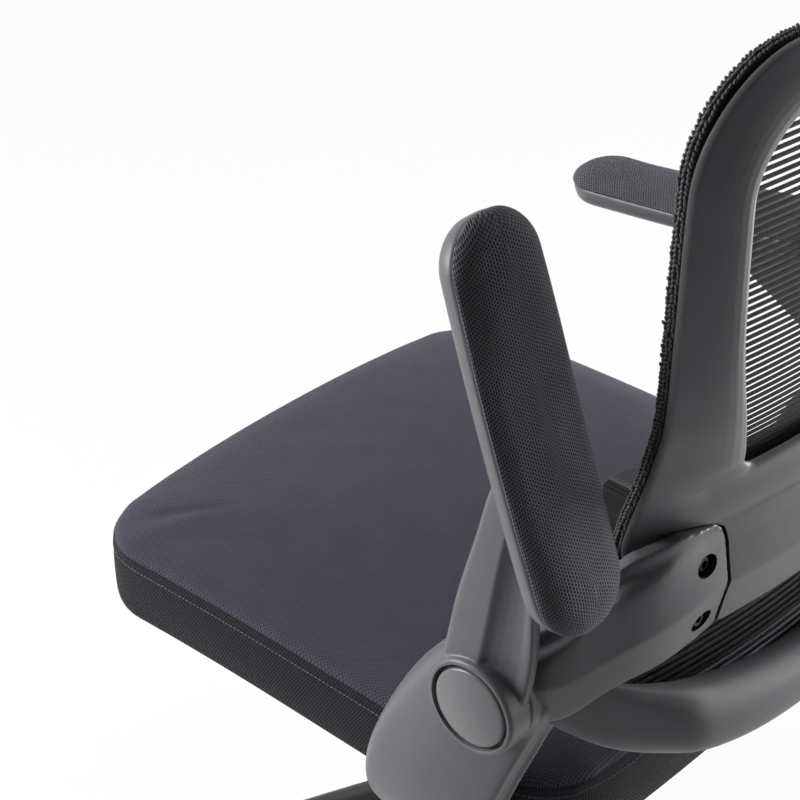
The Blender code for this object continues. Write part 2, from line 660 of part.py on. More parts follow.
def make_housing():
    rear_top = HOUSING_TOP - HOUSING_REAR_CUT
    side = [Vector((HOUSING_FRONT, HOUSING_TOP)), Vector((HOUSING_FRONT, HOUSING_BOTTOM + HOUSING_EDGE)),
            Vector((HOUSING_FRONT + HOUSING_EDGE, HOUSING_BOTTOM)),
            Vector((HOUSING_REAR - HOUSING_REAR_RUN, HOUSING_BOTTOM)),
            Vector((HOUSING_REAR, HOUSING_BOTTOM + HOUSING_EDGE)), Vector((HOUSING_REAR, rear_top)),
            Vector((TILT_Y + SHOULDER_BEHIND_AXLE, HOUSING_TOP))]
    half = HOUSING_HALF_WIDTH
    housing = prism("mechanism_housing", side, lambda p, end: Vector(((2 * end - 1) * half, p.x, p.y)))
    socket_low = HOUSING_BOTTOM - SOCKET_DROP
    socket = turned("socket", [(SOCKET_RADIUS - SOCKET_TAPER, socket_low),
                               (SOCKET_RADIUS, HOUSING_BOTTOM + THROUGH)], 16, (0, 0, 0))
    join(housing, socket)
    lift_bore = bore(LIFT_CYLINDER_RADIUS, GAP, 16)
    bolt_bore = bore(KNOB_BOLT_RADIUS, RUNNING_GAP, 10)
    pocket = SPRING_RADIUS + SPRING_WIRE + SPRING_TO_POCKET
    axle_bore = bore(TILT_AXLE_RADIUS, RUNNING_GAP, 12)
    cut(housing,
        drill(lift_bore, socket_low - THROUGH, HOUSING_TOP + THROUGH, 16, (0, 0, 0)),
        drill(pocket, HOUSING_BOTTOM + SPRING_FLOOR, HOUSING_TOP + THROUGH, 14, (0, KNOB_Y, 0)),
        drill(bolt_bore, HOUSING_BOTTOM - THROUGH, HOUSING_TOP, 10, (0, KNOB_Y, 0)),
        drill(axle_bore, -2 * half, 2 * half, 12, (0, TILT_Y, TILT_Z), "X"),
        drill(LEVER_SLOT_RADIUS, -2 * half, LEVER_SLOT_END, 10, (0, 0, LEVER_Z), "X"))
    return finish_piece(housing, BLACK_STEEL)


def make_seat_plate():
    corners = ((-1, PLATE_FRONT), (-1, PLATE_REAR), (1, PLATE_REAR), (1, PLATE_FRONT))
    outline = rounded([(side * PLATE_HALF_WIDTH, y, PLATE_CORNER) for side, y in corners], 4)
    plate = prism("seat_plate", outline, lambda p, end: Vector((p.x, p.y, (PLATE_BOTTOM, PLATE_TOP)[end])))
    inner = HOUSING_HALF_WIDTH + GAP
    axle_bore = bore(TILT_AXLE_RADIUS, GAP, 12)
    steps = 8
    turns = [math.pi * i / steps for i in range(steps + 1)]
    ear = [Vector((TILT_Y + EAR_RADIUS * math.cos(a), TILT_Z - EAR_RADIUS * math.sin(a))) for a in turns]
    root_z = PLATE_BOTTOM + PLATE_THICKNESS / 2
    ear += [Vector((TILT_Y + side * EAR_ROOT_HALF_WIDTH, root_z)) for side in (-1, 1)]
    for side in (1, -1):
        faces = (side * inner, side * (inner + EAR_THICKNESS))
        join(plate, prism("ear", ear, lambda p, end: Vector((faces[end], p.x, p.y))))
    span = 2 * (inner + EAR_THICKNESS)
    cut(plate, drill(axle_bore, -span, span, 12, (0, TILT_Y, TILT_Z), "X"))
    return finish_piece(plate, BLACK_STEEL, (0, TILT_Y, TILT_Z))


def make_tilt_axle():
    face = HOUSING_HALF_WIDTH + GAP + EAR_THICKNESS + GAP
    head = face + TILT_AXLE_HEAD_THICKNESS
    axle = turned("tilt_axle", [(TILT_AXLE_HEAD, -head), (TILT_AXLE_HEAD, -face), (TILT_AXLE_RADIUS, -face),
                                (TILT_AXLE_RADIUS, face), (TILT_AXLE_HEAD, face), (TILT_AXLE_HEAD, head)],
                  12, (0, TILT_Y, TILT_Z), axis="X")
    return finish_piece(axle, BRIGHT_STEEL, (0, TILT_Y, TILT_Z))


def make_tilt_spring():
    """One unbroken coil round the tension bolt, standing on the pocket's floor."""
    points_per_turn = 8
    sides = 4
    count = int(SPRING_TURNS * points_per_turn)
    low = HOUSING_BOTTOM + SPRING_FLOOR + GAP + SPRING_WIRE
    rings = []
    for i in range(count + 1):
        angle = 2 * math.pi * i / points_per_turn
        outward = Vector((math.cos(angle), math.sin(angle), 0.0))
        middle = outward * SPRING_RADIUS + Vector((0, KNOB_Y, low + SPRING_PITCH * i / points_per_turn))
        ring = []
        for k in range(sides):
            turn = 2 * math.pi * k / sides
            ring.append(middle + outward * SPRING_WIRE * math.cos(turn)
                        + Vector((0, 0, SPRING_WIRE * math.sin(turn))))
        rings.append(ring)
    print("tilt_spring least gap between turns:", round(SPRING_PITCH - 2 * SPRING_WIRE, 5))
    return finish_piece(loft("tilt_spring", rings), BRIGHT_STEEL, (0, KNOB_Y, low))


def make_tension_knob():
    top = HOUSING_BOTTOM - GAP
    knob_top = top - KNOB_BOSS_HEIGHT
    knob_low = knob_top - KNOB_HEIGHT
    sides = KNOB_FLUTES * 3

    def ring(radius, height, depth):
        points = []
        for i in range(sides):
            angle = 2 * math.pi * i / sides
            flute = radius - depth * (0.5 - 0.5 * math.cos(angle * KNOB_FLUTES))
            points.append(Vector((flute * math.cos(angle), KNOB_Y + flute * math.sin(angle), height)))
        return points

    edge = KNOB_EDGE
    shallow = KNOB_FLUTE_DEPTH / 3
    knob = loft("tension_knob", [ring(KNOB_RADIUS - edge, knob_low, shallow),
                                 ring(KNOB_RADIUS, knob_low + edge, KNOB_FLUTE_DEPTH),
                                 ring(KNOB_RADIUS, knob_top - edge, KNOB_FLUTE_DEPTH),
                                 ring(KNOB_RADIUS - edge, knob_top, shallow)])
    boss = drill(KNOB_BOSS_RADIUS, knob_top - edge, top, 12, (0, KNOB_Y, 0))
    bolt_top = HOUSING_BOTTOM + SPRING_FLOOR + SPRING_PITCH * SPRING_TURNS
    bolt = drill(KNOB_BOLT_RADIUS, knob_top, bolt_top, 10, (0, KNOB_Y, 0))
    return finish_piece(join(knob, boss, bolt), BLACK_PLASTIC, (0, KNOB_Y, knob_low))


def make_height_lever():
    """A bent bar rocking on its collar in the housing's side, with a paddle under the seat's right edge."""
    bend = -HOUSING_HALF_WIDTH - LEVER_STRAIGHT
    path = [Vector((LEVER_TIP, 0, LEVER_Z)), Vector((bend, 0, LEVER_Z)),
            Vector((bend - LEVER_BEND_RUN, 0, LEVER_Z - LEVER_DROP)),
            Vector((-LEVER_REACH + PADDLE_LENGTH / 2, 0, LEVER_Z - LEVER_DROP))]
    turns = [math.radians(45 * k) for k in range(8)]
    section = [Vector((0, LEVER_RADIUS * math.cos(a), LEVER_RADIUS * math.sin(a))) for a in turns]
    rings = [[point + corner for corner in section] for point in path]
    lever = loft("height_lever", rings)
    half = PADDLE_WIDTH / 2
    outline = rounded([(-LEVER_REACH, -half, half * 0.9), (-LEVER_REACH, half, half * 0.9),
                       (PADDLE_LENGTH - LEVER_REACH, half, half * 0.6),
                       (PADDLE_LENGTH - LEVER_REACH, -half, half * 0.6)], 5)
    low = LEVER_Z - LEVER_DROP - PADDLE_THICKNESS / 2
    paddle = prism("paddle", outline, lambda p, end: Vector((p.x, p.y, low + end * PADDLE_THICKNESS)))
    collar_end = LEVER_COLLAR_LENGTH - HOUSING_HALF_WIDTH
    collar_radius = LEVER_SLOT_RADIUS - LEVER_COLLAR_GAP
    collar = drill(collar_radius, -HOUSING_HALF_WIDTH, collar_end, 10, (0, 0, LEVER_Z), "X")
    rock = LEVER_COLLAR_LENGTH / 2 - HOUSING_HALF_WIDTH
    return finish_piece(join(lever, paddle, collar), BLACK_PLASTIC, (rock, 0, LEVER_Z))


# Seat

def seat_outline(inset):
    front = SEAT_FRONT + inset
    rear = SEAT_REAR - inset
    front_half = SEAT_FRONT_HALF_WIDTH - inset
    rear_half = SEAT_REAR_HALF_WIDTH - inset
    front_radius = max(SEAT_FRONT_RADIUS - inset, SEAT_LEAST_RADIUS)
    rear_radius = max(SEAT_REAR_RADIUS - inset, SEAT_LEAST_RADIUS)
    corners = [(-front_half, front, front_radius), (-rear_half, rear, rear_radius),
               (rear_half, rear, rear_radius), (front_half, front, front_radius)]
    points = []
    for point in rounded(corners, 6, 4):
        across = 1 - min(1.0, abs(point.x) / front_half) ** 2
        forward = min(1.0, max(0.0, -point.y / abs(front)))
        backward = min(1.0, max(0.0, point.y / rear))
        bow = SEAT_REAR_BOW * backward ** 3 - SEAT_FRONT_BOW * forward ** 3
        points.append(Vector((point.x, point.y + across * bow)))
    return points


def make_seat_cushion():
    """Boxed cushion: a side band drawn in between its seams and a crowned top."""
    bottom = SEAT_SEAM_Z - SEAT_BAND
    levels = [(SEAT_ROLL, bottom), (SEAT_DRAW_IN / 4, bottom + SEAT_ROLL),
              (SEAT_DRAW_IN, bottom + SEAT_BAND / 2), (0.0, SEAT_SEAM_Z)]
    levels += [(inset, SEAT_SEAM_Z + share * SEAT_CROWN) for inset, share in SEAT_CROWN_STOPS]
    rings = []
    for inset, height in levels:
        rings.append([Vector((p.x, p.y, height)) for p in seat_outline(inset)])
    return finish_piece(loft("seat_cushion", rings), SEAT_FABRIC)


def make_seat_pan():
    levels = [(PAN_INSET + PAN_EDGE, PAN_BOTTOM), (PAN_INSET, PAN_BOTTOM + PAN_EDGE), (PAN_INSET, PAN_TOP)]
    rings = []
    for inset, height in levels:
        rings.append([Vector((p.x, p.y, height)) for p in seat_outline(inset)])
    return finish_piece(loft("seat_pan", rings), BLACK_PLASTIC)


# Arms

def pad_outline(inset):
    """The pad from above: (across, along) with the hub's axis at along = 0 and the front at -Y."""
    rear = PAD_REAR - inset
    front = PAD_REAR - PAD_LENGTH + inset
    rear_half = PAD_REAR_WIDTH / 2 - inset
    front_half = PAD_FRONT_WIDTH / 2 - inset
    rear_radius = min(max(PAD_REAR_RADIUS - inset, PAD_LEAST_RADIUS), rear_half * 0.95)
    front_radius = min(max(PAD_FRONT_RADIUS - inset, PAD_LEAST_RADIUS), front_half * 0.95)
    corners = [(-front_half, front, front_radius), (-rear_half, rear, rear_radius),
               (rear_half, rear, rear_radius), (front_half, front, front_radius)]
    return rounded(corners, 5, 3)


def make_arm_pad(name):
    low = PAD_BASE_TOP + GAP
    rings = []
    for inset, share in PAD_STOPS:
        height = low + share * PAD_CUSHION
        rings.append([Vector((PAD_CENTRE_X + p.x, p.y, height)) for p in pad_outline(inset)])
    return loft(name, rings)


def make_pad_base(name):
    bottom = PAD_BASE_TOP - PAD_BASE_DEPTH
    rings = []
    for inset, share in PAD_BASE_STOPS:
        height = bottom + share * PAD_BASE_DEPTH
        rings.append([Vector((PAD_CENTRE_X + p.x, p.y, height)) for p in pad_outline(inset)])
    return loft(name, rings)


def make_link(name):
    """Blade from the hub up to the pad's base, with a raised front facet and a recessed rear one."""
    inner = HUB_SPLIT_X + RUNNING_GAP
    outer = inner + LINK_THICKNESS
    top = PAD_BASE_TOP - PAD_BASE_DEPTH - GAP
    front = LINK_FRONT + [(LINK_TOP_FRONT, top)]
    rear = LINK_REAR + [(LINK_TOP_REAR, top)]
    rings = []
    for (fy, fz), (ry, rz) in zip(front, rear):
        low = Vector((0, fy, fz))
        across = Vector((0, ry, rz)) - low
        section = [(0.0, inner)] + [(share, outer - sunk) for share, sunk in LINK_SECTION] + [(1.0, inner)]
        rings.append([low + across * share + Vector((x, 0, 0)) for share, x in section])
    link = loft(name, rings)
    hub = turned("hub", [(HUB_RADIUS, inner), (HUB_RADIUS, HUB_OUTER_X - HUB_EDGE),
                         (HUB_RADIUS - HUB_EDGE, HUB_OUTER_X)], 24, (0, 0, 0), axis="X")
    recess = CAP_RADIUS + CAP_GAP
    pin_bore = bore(PIN_RADIUS, GAP, 12)
    join(link, hub)
    cut(link, drill(recess, HUB_OUTER_X - CAP_DEPTH, HUB_OUTER_X + THROUGH, 24, (0, 0, 0), "X"),
        drill(pin_bore, inner - THROUGH, HUB_OUTER_X, 12, (0, 0, 0), "X"))
    return link


def make_pivot_cap(name):
    seat = HUB_OUTER_X - CAP_DEPTH + GAP
    rim = HUB_OUTER_X - CAP_SUNK
    profile = [(CAP_RADIUS, seat), (CAP_RADIUS, rim - CAP_EDGE), (CAP_RADIUS - CAP_EDGE, rim)]
    profile += [(CAP_RADIUS * share, rim + CAP_DOME * (1 - share ** 2)) for share in (0.66, 0.33, 0.06)]
    return turned(name, profile, 24, (0, 0, 0), axis="X")


def make_pivot_pin(name):
    end = HUB_OUTER_X - CAP_DEPTH - GAP
    start = HUB_INNER_X + PIN_END_WALL + GAP
    pin = drill(PIN_RADIUS, start, end, 12, (0, 0, 0), "X")
    pin.name = name
    return pin


def make_bracket_leg():
    """The bracket's lower leg, down past the seat's side and in under the seat as a flange."""
    flange = PLATE_TOP - FLANGE_THICKNESS / 2
    stations = LEG_STATIONS + [(x, LEG_FOOT_Y, flange, width, FLANGE_THICKNESS, -90.0)
                               for x, width in FLANGE_ENDS]
    rings = []
    for x, y, z, width, thickness, lean in stations:
        turn = math.radians(lean)
        outward = Vector((math.cos(turn), 0, math.sin(turn)))
        half = width / 2
        deep = thickness / 2
        section = [(-half, -0.4 * deep), (-half + 0.3 * deep, -deep), (half - 0.3 * deep, -deep),
                   (half, -0.4 * deep), (half, 0.05 * deep), (half - 0.5 * deep, 0.5 * deep),
                   (0.02 * width, deep), (-half + 1.2 * deep, 0.8 * deep), (-half + 0.2 * deep, 0.3 * deep)]
        rings.append([Vector((x, y + along, z)) + outward * out for along, out in section])
    return loft("bracket", rings)


def branch_stop(share):
    """Middle, outward direction, height and thickness of the bracket's rear branch."""
    start = Vector((BRANCH_START_X, HUB_Y))
    bend = Vector(BRANCH_BEND)
    end = Vector((BRANCH_END_X, BRANCH_END_Y))
    plan = start * (1 - share) ** 2 + bend * 2 * share * (1 - share) + end * share ** 2
    along = (bend - start) * (1 - share) + (end - bend) * share
    outward = Vector((along.y, -along.x, 0)).normalized()
    rise = smooth_curve(BRANCH_RISES, share)
    depth = smooth_curve(BRANCH_HEIGHTS, share)
    thick = smooth_curve(BRANCH_THICKNESSES, share)
    return Vector((plan.x, plan.y, rise)), outward, depth, thick


def make_branch(grow=0.0, behind=0.0):
    """The branch as a loft. As a cutter it is grown by a gap and runs on behind itself."""
    rings = []
    last = 7
    for i in range(last + 1):
        middle, outward, depth, thick = branch_stop(i / last)
        if i == last:
            middle = middle + Vector((-grow, 0, 0))
        half = depth / 2 + grow
        deep = thick / 2 + grow
        section = [(-half, -deep), (-half, 0.2 * deep), (BRANCH_CREASE - half, deep),
                   (half - deep, 0.6 * deep), (half, 0.1 * deep), (half, -deep)]
        if behind:
            section[2:4] = [(-half, behind), (half, behind)]
        rings.append([middle + outward * out + Vector((0, 0, up)) for up, out in section])
    return loft("branch", rings)


def screw_spots():
    heights = (BRANCH_END_Z + SCREW_ABOVE, BRANCH_END_Z - SCREW_BELOW)
    return [Vector((SCREW_X, 0, height)) for height in heights]


def make_bracket(name):
    branch = make_branch()
    shank_bore = bore(SCREW_SHANK_RADIUS, GAP, 10)
    clear = 2 * CROSSBAR_THICKNESS
    for spot in screw_spots():
        cut(branch, drill(COUNTERBORE_RADIUS, SCREW_SEAT_Y, SCREW_SEAT_Y + clear, 12, spot, "Y"),
            drill(shank_bore, SCREW_SEAT_Y - clear, SCREW_SEAT_Y + THROUGH, 10, spot, "Y"))
    hub = turned("hub", [(HUB_RADIUS - HUB_EDGE, HUB_INNER_X), (HUB_RADIUS, HUB_INNER_X + HUB_EDGE),
                         (HUB_RADIUS, HUB_SPLIT_X)], 24, (0, HUB_Y, HUB_Z), axis="X")
    bracket = join(make_bracket_leg(), branch, hub)
    pin_bore = bore(PIN_RADIUS, RUNNING_GAP, 12)
    pin_end = HUB_INNER_X + PIN_END_WALL
    cut(bracket, drill(pin_bore, pin_end, HUB_SPLIT_X + THROUGH, 12, (0, HUB_Y, HUB_Z), "X"))
    bracket.name = name
    return bracket


SCREW_SEAT_Y = BRANCH_END_Y + BRANCH_THICKNESS / 2 - SCREW_RECESS


def make_screw(name, spot):
    top = SCREW_SEAT_Y + GAP
    tip = top + SCREW_HEAD_HEIGHT - SCREW_LENGTH
    return turned(name, [(SCREW_SHANK_RADIUS, tip), (SCREW_SHANK_RADIUS, top),
                         (SCREW_HEAD_RADIUS, top), (SCREW_HEAD_RADIUS, top + SCREW_HEAD_HEIGHT * 0.6),
                         (SCREW_HEAD_RADIUS * 0.7, top + SCREW_HEAD_HEIGHT)], 10, spot, axis="Y")


def make_arms():
    for side, label, angle in ((1, "left", ARM_DOWN_ANGLE + ARM_FLIP), (-1, "right", ARM_DOWN_ANGLE)):
        def sided(item):
            return item if side > 0 else mirrored(item)

        finish_piece(sided(make_bracket(label + "_arm_bracket")), SATIN_PLASTIC)
        hinge = pivot(label + "_arm_hinge", (0, HUB_Y, HUB_Z), (-math.radians(angle), 0, 0))
        finish_piece(sided(make_link(label + "_arm_link")), SATIN_PLASTIC, parent=hinge)
        finish_piece(sided(make_pad_base(label + "_pad_base")), SATIN_PLASTIC, parent=hinge)
        finish_piece(sided(make_arm_pad(label + "_arm_pad")), PAD_FABRIC, parent=hinge)
        finish_piece(sided(make_pivot_cap(label + "_pivot_cap")), CAP_PLASTIC, parent=hinge)
        finish_piece(sided(make_pivot_pin(label + "_pivot_pin")), BRIGHT_STEEL, parent=hinge)
        for number, spot in enumerate(screw_spots()):
            name = f"{label}_back_screw_{('upper', 'lower')[number]}"
            finish_piece(sided(make_screw(name, spot)), BLACK_STEEL)


# Back

def back_edge_y(z):
    """How far back the mesh's side edge is at a height."""
    return smooth_curve(BACK_EDGE_STOPS, z)


def back_y(x, z):
    """The mesh's front surface, dished between its side edges and flatter at the top."""
    dish = smooth_curve([(BACK_DISH_Z, BACK_DISH), (BACK_TOP, BACK_TOP_DISH)], z)
    return back_edge_y(z) + dish * (1 - (x / BACK_HALF_WIDTH) ** 2)


def back_half_width(z):
    return smooth_curve(BACK_WIDTH_STOPS, z)


def back_outline(inset):
    """The back from the front: (x, z), with a waist above the seat."""
    wide = BACK_HALF_WIDTH - inset
    top = BACK_TOP - inset
    bottom = BACK_BOTTOM + inset
    low_radius = BACK_BOTTOM_RADIUS - inset
    high_radius = BACK_TOP_RADIUS - inset
    corners = [(-wide, bottom, low_radius), (-wide, top, high_radius),
               (wide, top, high_radius), (wide, bottom, low_radius)]
    points = []
    for point in rounded(corners, 6, 9):
        narrow = (back_half_width(point.y) - inset) / wide
        points.append(Vector((point.x * narrow, point.y)))
    return points


def on_back(point, depth):
    return Vector((point.x, back_y(point.x, point.y) + depth, point.y))


def make_mesh_frame():
    inner = back_outline(MESH_FRAME_WIDTH)
    outer = back_outline(0.0)
    edge = MESH_FRAME_EDGE
    ring_out = back_outline(edge)
    front = -MESH_FRAME_PROUD
    deep = MESH_FRAME_DEPTH
    rings = []
    for out, lip, into in zip(outer, ring_out, inner):
        rings.append([on_back(lip, front), on_back(out, edge), on_back(out, deep - edge), on_back(lip, deep),
                      on_back(into, deep), on_back(into, front)])
    return finish_piece(loft("mesh_frame", rings, closed=True), BLACK_PLASTIC)


def make_mesh_panel():
    """Flat net: strands across the back between slots, tied by a border and a few upright cords."""
    inset = MESH_FRAME_WIDTH + MESH_FRAME_GAP
    low = BACK_BOTTOM + inset
    high = BACK_TOP - inset
    pitch = (high - low) / MESH_ROWS
    rows = []
    for i in range(MESH_ROWS):
        rows += [low + i * pitch, low + i * pitch + MESH_STRAND]
    rows.append(high)

    def half_at(z):
        wide = BACK_HALF_WIDTH - inset
        half = back_half_width(z) - inset
        for edge, radius, sign in ((low, BACK_BOTTOM_RADIUS - inset, 1), (high, BACK_TOP_RADIUS - inset, -1)):
            into = (z - edge) * sign
            if into < radius:
                half *= (wide - radius + math.sqrt(max(0.0, radius ** 2 - (radius - into) ** 2))) / wide
        return half

    bm = bmesh.new()
    front = []
    back = []
    for z in rows:
        half = half_at(z)
        xs = [half * (2 * i / MESH_COLUMNS - 1) for i in range(MESH_COLUMNS + 1)]
        front.append([bm.verts.new((x, back_y(x, z), z)) for x in xs])
        back.append([bm.verts.new((x, back_y(x, z) + MESH_THICKNESS, z)) for x in xs])
    filled = {}
    for j in range(len(rows) - 1):
        for i in range(MESH_COLUMNS):
            tie = i in (0, MESH_COLUMNS - 1)
            filled[i, j] = j % 2 == 0 or j == len(rows) - 2 or tie
    for (i, j), solid in filled.items():
        if not solid:
            continue
        f = (front[j][i], front[j][i + 1], front[j + 1][i + 1], front[j + 1][i])
        b = (back[j][i], back[j][i + 1], back[j + 1][i + 1], back[j + 1][i])
        bm.faces.new(f)
        bm.faces.new(tuple(reversed(b)))
        neighbours = ((i, j - 1), (i + 1, j), (i, j + 1), (i - 1, j))
        for k, neighbour in enumerate(neighbours):
            if not filled.get(neighbour, False):
                bm.faces.new((f[k], b[k], b[(k + 1) % 4], f[(k + 1) % 4]))
    return finish_piece(from_bmesh("mesh_panel", bm), MESH_FABRIC)


def opening_half_width(z):
    """Half the opening's width at a height: the side panels are widest low down."""
    return back_half_width(z) - smooth_curve(PANEL_WIDTH_STOPS, z)


def opening_outline():
    wide = opening_half_width(OPENING_TOP)
    corners = [(-wide, OPENING_BOTTOM, OPENING_BOTTOM_RADIUS), (-wide, OPENING_TOP, OPENING_TOP_RADIUS),
               (wide, OPENING_TOP, OPENING_TOP_RADIUS), (wide, OPENING_BOTTOM, OPENING_BOTTOM_RADIUS)]
    return [Vector((p.x * opening_half_width(p.y) / wide, p.y)) for p in rounded(corners, 6, 6)]


def inside_shell(point):
    """Whether a point of the back's front view is on the upper ring or its opening."""
    limit = back_half_width(point.y)
    into_corner = point.y - (BACK_TOP - BACK_TOP_RADIUS)
    if into_corner > 0:
        limit -= BACK_TOP_RADIUS - math.sqrt(max(0.0, BACK_TOP_RADIUS ** 2 - into_corner ** 2))
    return abs(point.x) < limit - SHELL_STEP and CROSSBAR_BOTTOM < point.y < BACK_TOP - SHELL_STEP


def make_upper_ring():
    """The shell's upper ring: side panels, top and the crossbar under the opening."""
    front = MESH_FRAME_DEPTH + SHELL_GAP
    inner = opening_outline()
    middle = Vector((0.0, (OPENING_BOTTOM + OPENING_TOP) / 2))
    rings = []
    for point in inner:
        outward = (point - middle).normalized()
        reach = 0.0
        while inside_shell(middle + outward * (reach + SHELL_STEP)):
            reach += SHELL_STEP
        outer = middle + outward * reach
        bar = min(1.0, max(0.0, (BEAM_START_Z - outer.y) / BEAM_BLEND))
        section = [(0.0, 0.0), (0.5, 0.0), (1.0, 0.0)]
        for panel, beam in zip(PANEL_SECTION, BEAM_SECTION):
            section.append(Vector(panel).lerp(Vector(beam), bar))
        rings.append([on_back(outer.lerp(point, share), front + depth) for share, depth in section])
    return loft("back_shell", rings, closed=True)


def make_lower_loop():
    """The shell's lower loop: a thick smile under the crossbar."""
    front = MESH_FRAME_DEPTH + SHELL_GAP
    half_path = [Vector((x, LOOP_Z + rise)) for x, rise in LOOP_PATH]
    path = [Vector((-p.x, p.y)) for p in reversed(half_path[1:])] + half_path
    rings = []
    for i, point in enumerate(path):
        before = path[max(i - 1, 0)]
        after = path[min(i + 1, len(path) - 1)]
        along = (after - before).normalized()
        across = Vector((-along.y, along.x))
        half = LOOP_HEIGHT / 2
        if i in (0, 1, len(path) - 2, len(path) - 1):
            half *= LOOP_END_SHARE
        ring = []
        for share, depth in LOOP_SECTION:
            ring.append(on_back(point + across * (share * half), front + depth * LOOP_DEPTH))
        rings.append(ring)
    return loft("loop", rings)


def make_back_shell():
    shell = make_upper_ring()
    join(shell, make_lower_loop())
    pilot = bore(SCREW_SHANK_RADIUS, GAP, 10)
    for side in (1, -1):
        notch = make_branch(NOTCH_GAP, CROSSBAR_THICKNESS)
        if side < 0:
            mirrored(notch)
        cut(shell, notch)
        for spot in screw_spots():
            place = Vector((side * spot.x, 0, spot.z))
            tip = SCREW_SEAT_Y + SCREW_HEAD_HEIGHT - SCREW_LENGTH
            cut(shell, drill(pilot, tip - GAP, tip + 2 * CROSSBAR_THICKNESS, 10, place, "Y"))
    return finish_piece(shell, SATIN_PLASTIC)


def make_lumbar_pad():
    """Crowned pad on the front of the mesh, skinned from upright sections across the back."""
    rings = []
    for i in range(LUMBAR_SECTIONS):
        x = LUMBAR_HALF_WIDTH * math.sin(math.pi * (i / (LUMBAR_SECTIONS - 1) - 0.5))
        into = min(LUMBAR_RADIUS, LUMBAR_HALF_WIDTH - abs(x))
        drop = LUMBAR_RADIUS - math.sqrt(LUMBAR_RADIUS ** 2 - (LUMBAR_RADIUS - into) ** 2)
        low = LUMBAR_BOTTOM + drop
        height = LUMBAR_TOP - LUMBAR_BOTTOM - 2 * drop
        swell = LUMBAR_EDGE + (LUMBAR_THICKNESS - LUMBAR_EDGE) * (1 - (x / LUMBAR_HALF_WIDTH) ** 4)
        ring = []
        for share in (0.0, 0.25, 0.5, 0.75, 1.0):
            ring.append(on_back(Vector((x, low + share * height)), LUMBAR_REST))
        for share in (1.0, 0.92, 0.7, 0.5, 0.3, 0.08, 0.0):
            depth = LUMBAR_EDGE + (swell - LUMBAR_EDGE) * (4 * share * (1 - share)) ** 0.6
            ring.append(on_back(Vector((x, low + share * height)), LUMBAR_REST - depth))
        rings.append(ring)
    return finish_piece(loft("lumbar_pad", rings), PAD_FABRIC)


clear_scene()
make_star_base()
make_casters()
make_gas_lift()
make_housing()
make_seat_plate()
make_tilt_axle()
make_tilt_spring()
make_tension_knob()
make_height_lever()
make_seat_pan()
make_seat_cushion()
make_arms()
make_back_shell()
make_mesh_frame()
make_mesh_panel()
make_lumbar_pad()
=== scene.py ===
import json
import math

import bmesh
import bpy
import numpy as np
from mathutils import Matrix, Vector


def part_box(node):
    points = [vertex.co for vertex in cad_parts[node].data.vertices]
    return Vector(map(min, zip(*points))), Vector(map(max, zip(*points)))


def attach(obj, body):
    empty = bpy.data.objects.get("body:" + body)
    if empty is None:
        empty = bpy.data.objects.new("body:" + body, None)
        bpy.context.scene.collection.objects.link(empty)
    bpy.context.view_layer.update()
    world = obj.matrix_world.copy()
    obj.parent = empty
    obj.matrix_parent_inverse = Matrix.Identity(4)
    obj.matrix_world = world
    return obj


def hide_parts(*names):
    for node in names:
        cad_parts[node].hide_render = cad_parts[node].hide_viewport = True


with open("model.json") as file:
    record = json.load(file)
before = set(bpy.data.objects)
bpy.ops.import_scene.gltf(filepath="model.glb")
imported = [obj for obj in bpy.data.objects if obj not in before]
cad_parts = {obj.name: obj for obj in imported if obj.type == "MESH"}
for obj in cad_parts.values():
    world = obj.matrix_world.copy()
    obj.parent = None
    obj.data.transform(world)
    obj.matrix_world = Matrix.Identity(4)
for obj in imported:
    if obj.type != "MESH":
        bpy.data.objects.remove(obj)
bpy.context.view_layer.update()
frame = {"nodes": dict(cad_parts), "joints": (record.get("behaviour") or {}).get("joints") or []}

nodes = frame["nodes"]
joints = {joint["name"]: joint for joint in frame["joints"]}


# Star base: five legs on a hub, moulded in glass-filled nylon with a fine satin grain.
# Each leg arches down to a round boss for a caster's stem, and the lift's tube wedges into the hub.

def add(tree, kind, inputs=None, **settings):
    """Adds a node, with its settings, and its inputs as values or as sockets to link."""
    item = tree.nodes.new(kind)
    for key, value in settings.items():
        setattr(item, key, value)
    for key, value in (inputs or {}).items():
        if isinstance(value, bpy.types.NodeSocket):
            tree.links.new(value, item.inputs[key])
        else:
            item.inputs[key].default_value = value
    return item


def sums(tree, operation, a, b=0.0, c=0.0):
    return add(tree, "ShaderNodeMath", {0: a, 1: b, 2: c}, operation=operation).outputs[0]


def spread(tree, value, low, high, at_low=0.0, at_high=1.0, kind="SMOOTHSTEP"):
    item = add(tree, "ShaderNodeMapRange", {"Value": value, "From Min": low, "From Max": high, "To Min": at_low,
                                            "To Max": at_high}, interpolation_type=kind)
    return item.outputs["Result"]


def blend(tree, share, first, second, kind="MIX"):
    item = add(tree, "ShaderNodeMix", data_type="RGBA", blend_type=kind)
    for key, value in ((0, share), (6, first), (7, second)):
        if isinstance(value, bpy.types.NodeSocket):
            tree.links.new(value, item.inputs[key])
        else:
            item.inputs[key].default_value = value
    return item.outputs[2]


def effect(name, takes, gives):
    """A shader node group with named sockets; returns it with its inner input and output nodes."""
    group = bpy.data.node_groups.new(name, "ShaderNodeTree")
    for direction, sockets in (("INPUT", takes), ("OUTPUT", gives)):
        for label, kind in sockets:
            group.interface.new_socket(name=label, in_out=direction, socket_type="NodeSocket" + kind)
    return group, group.nodes.new("NodeGroupInput"), group.nodes.new("NodeGroupOutput")


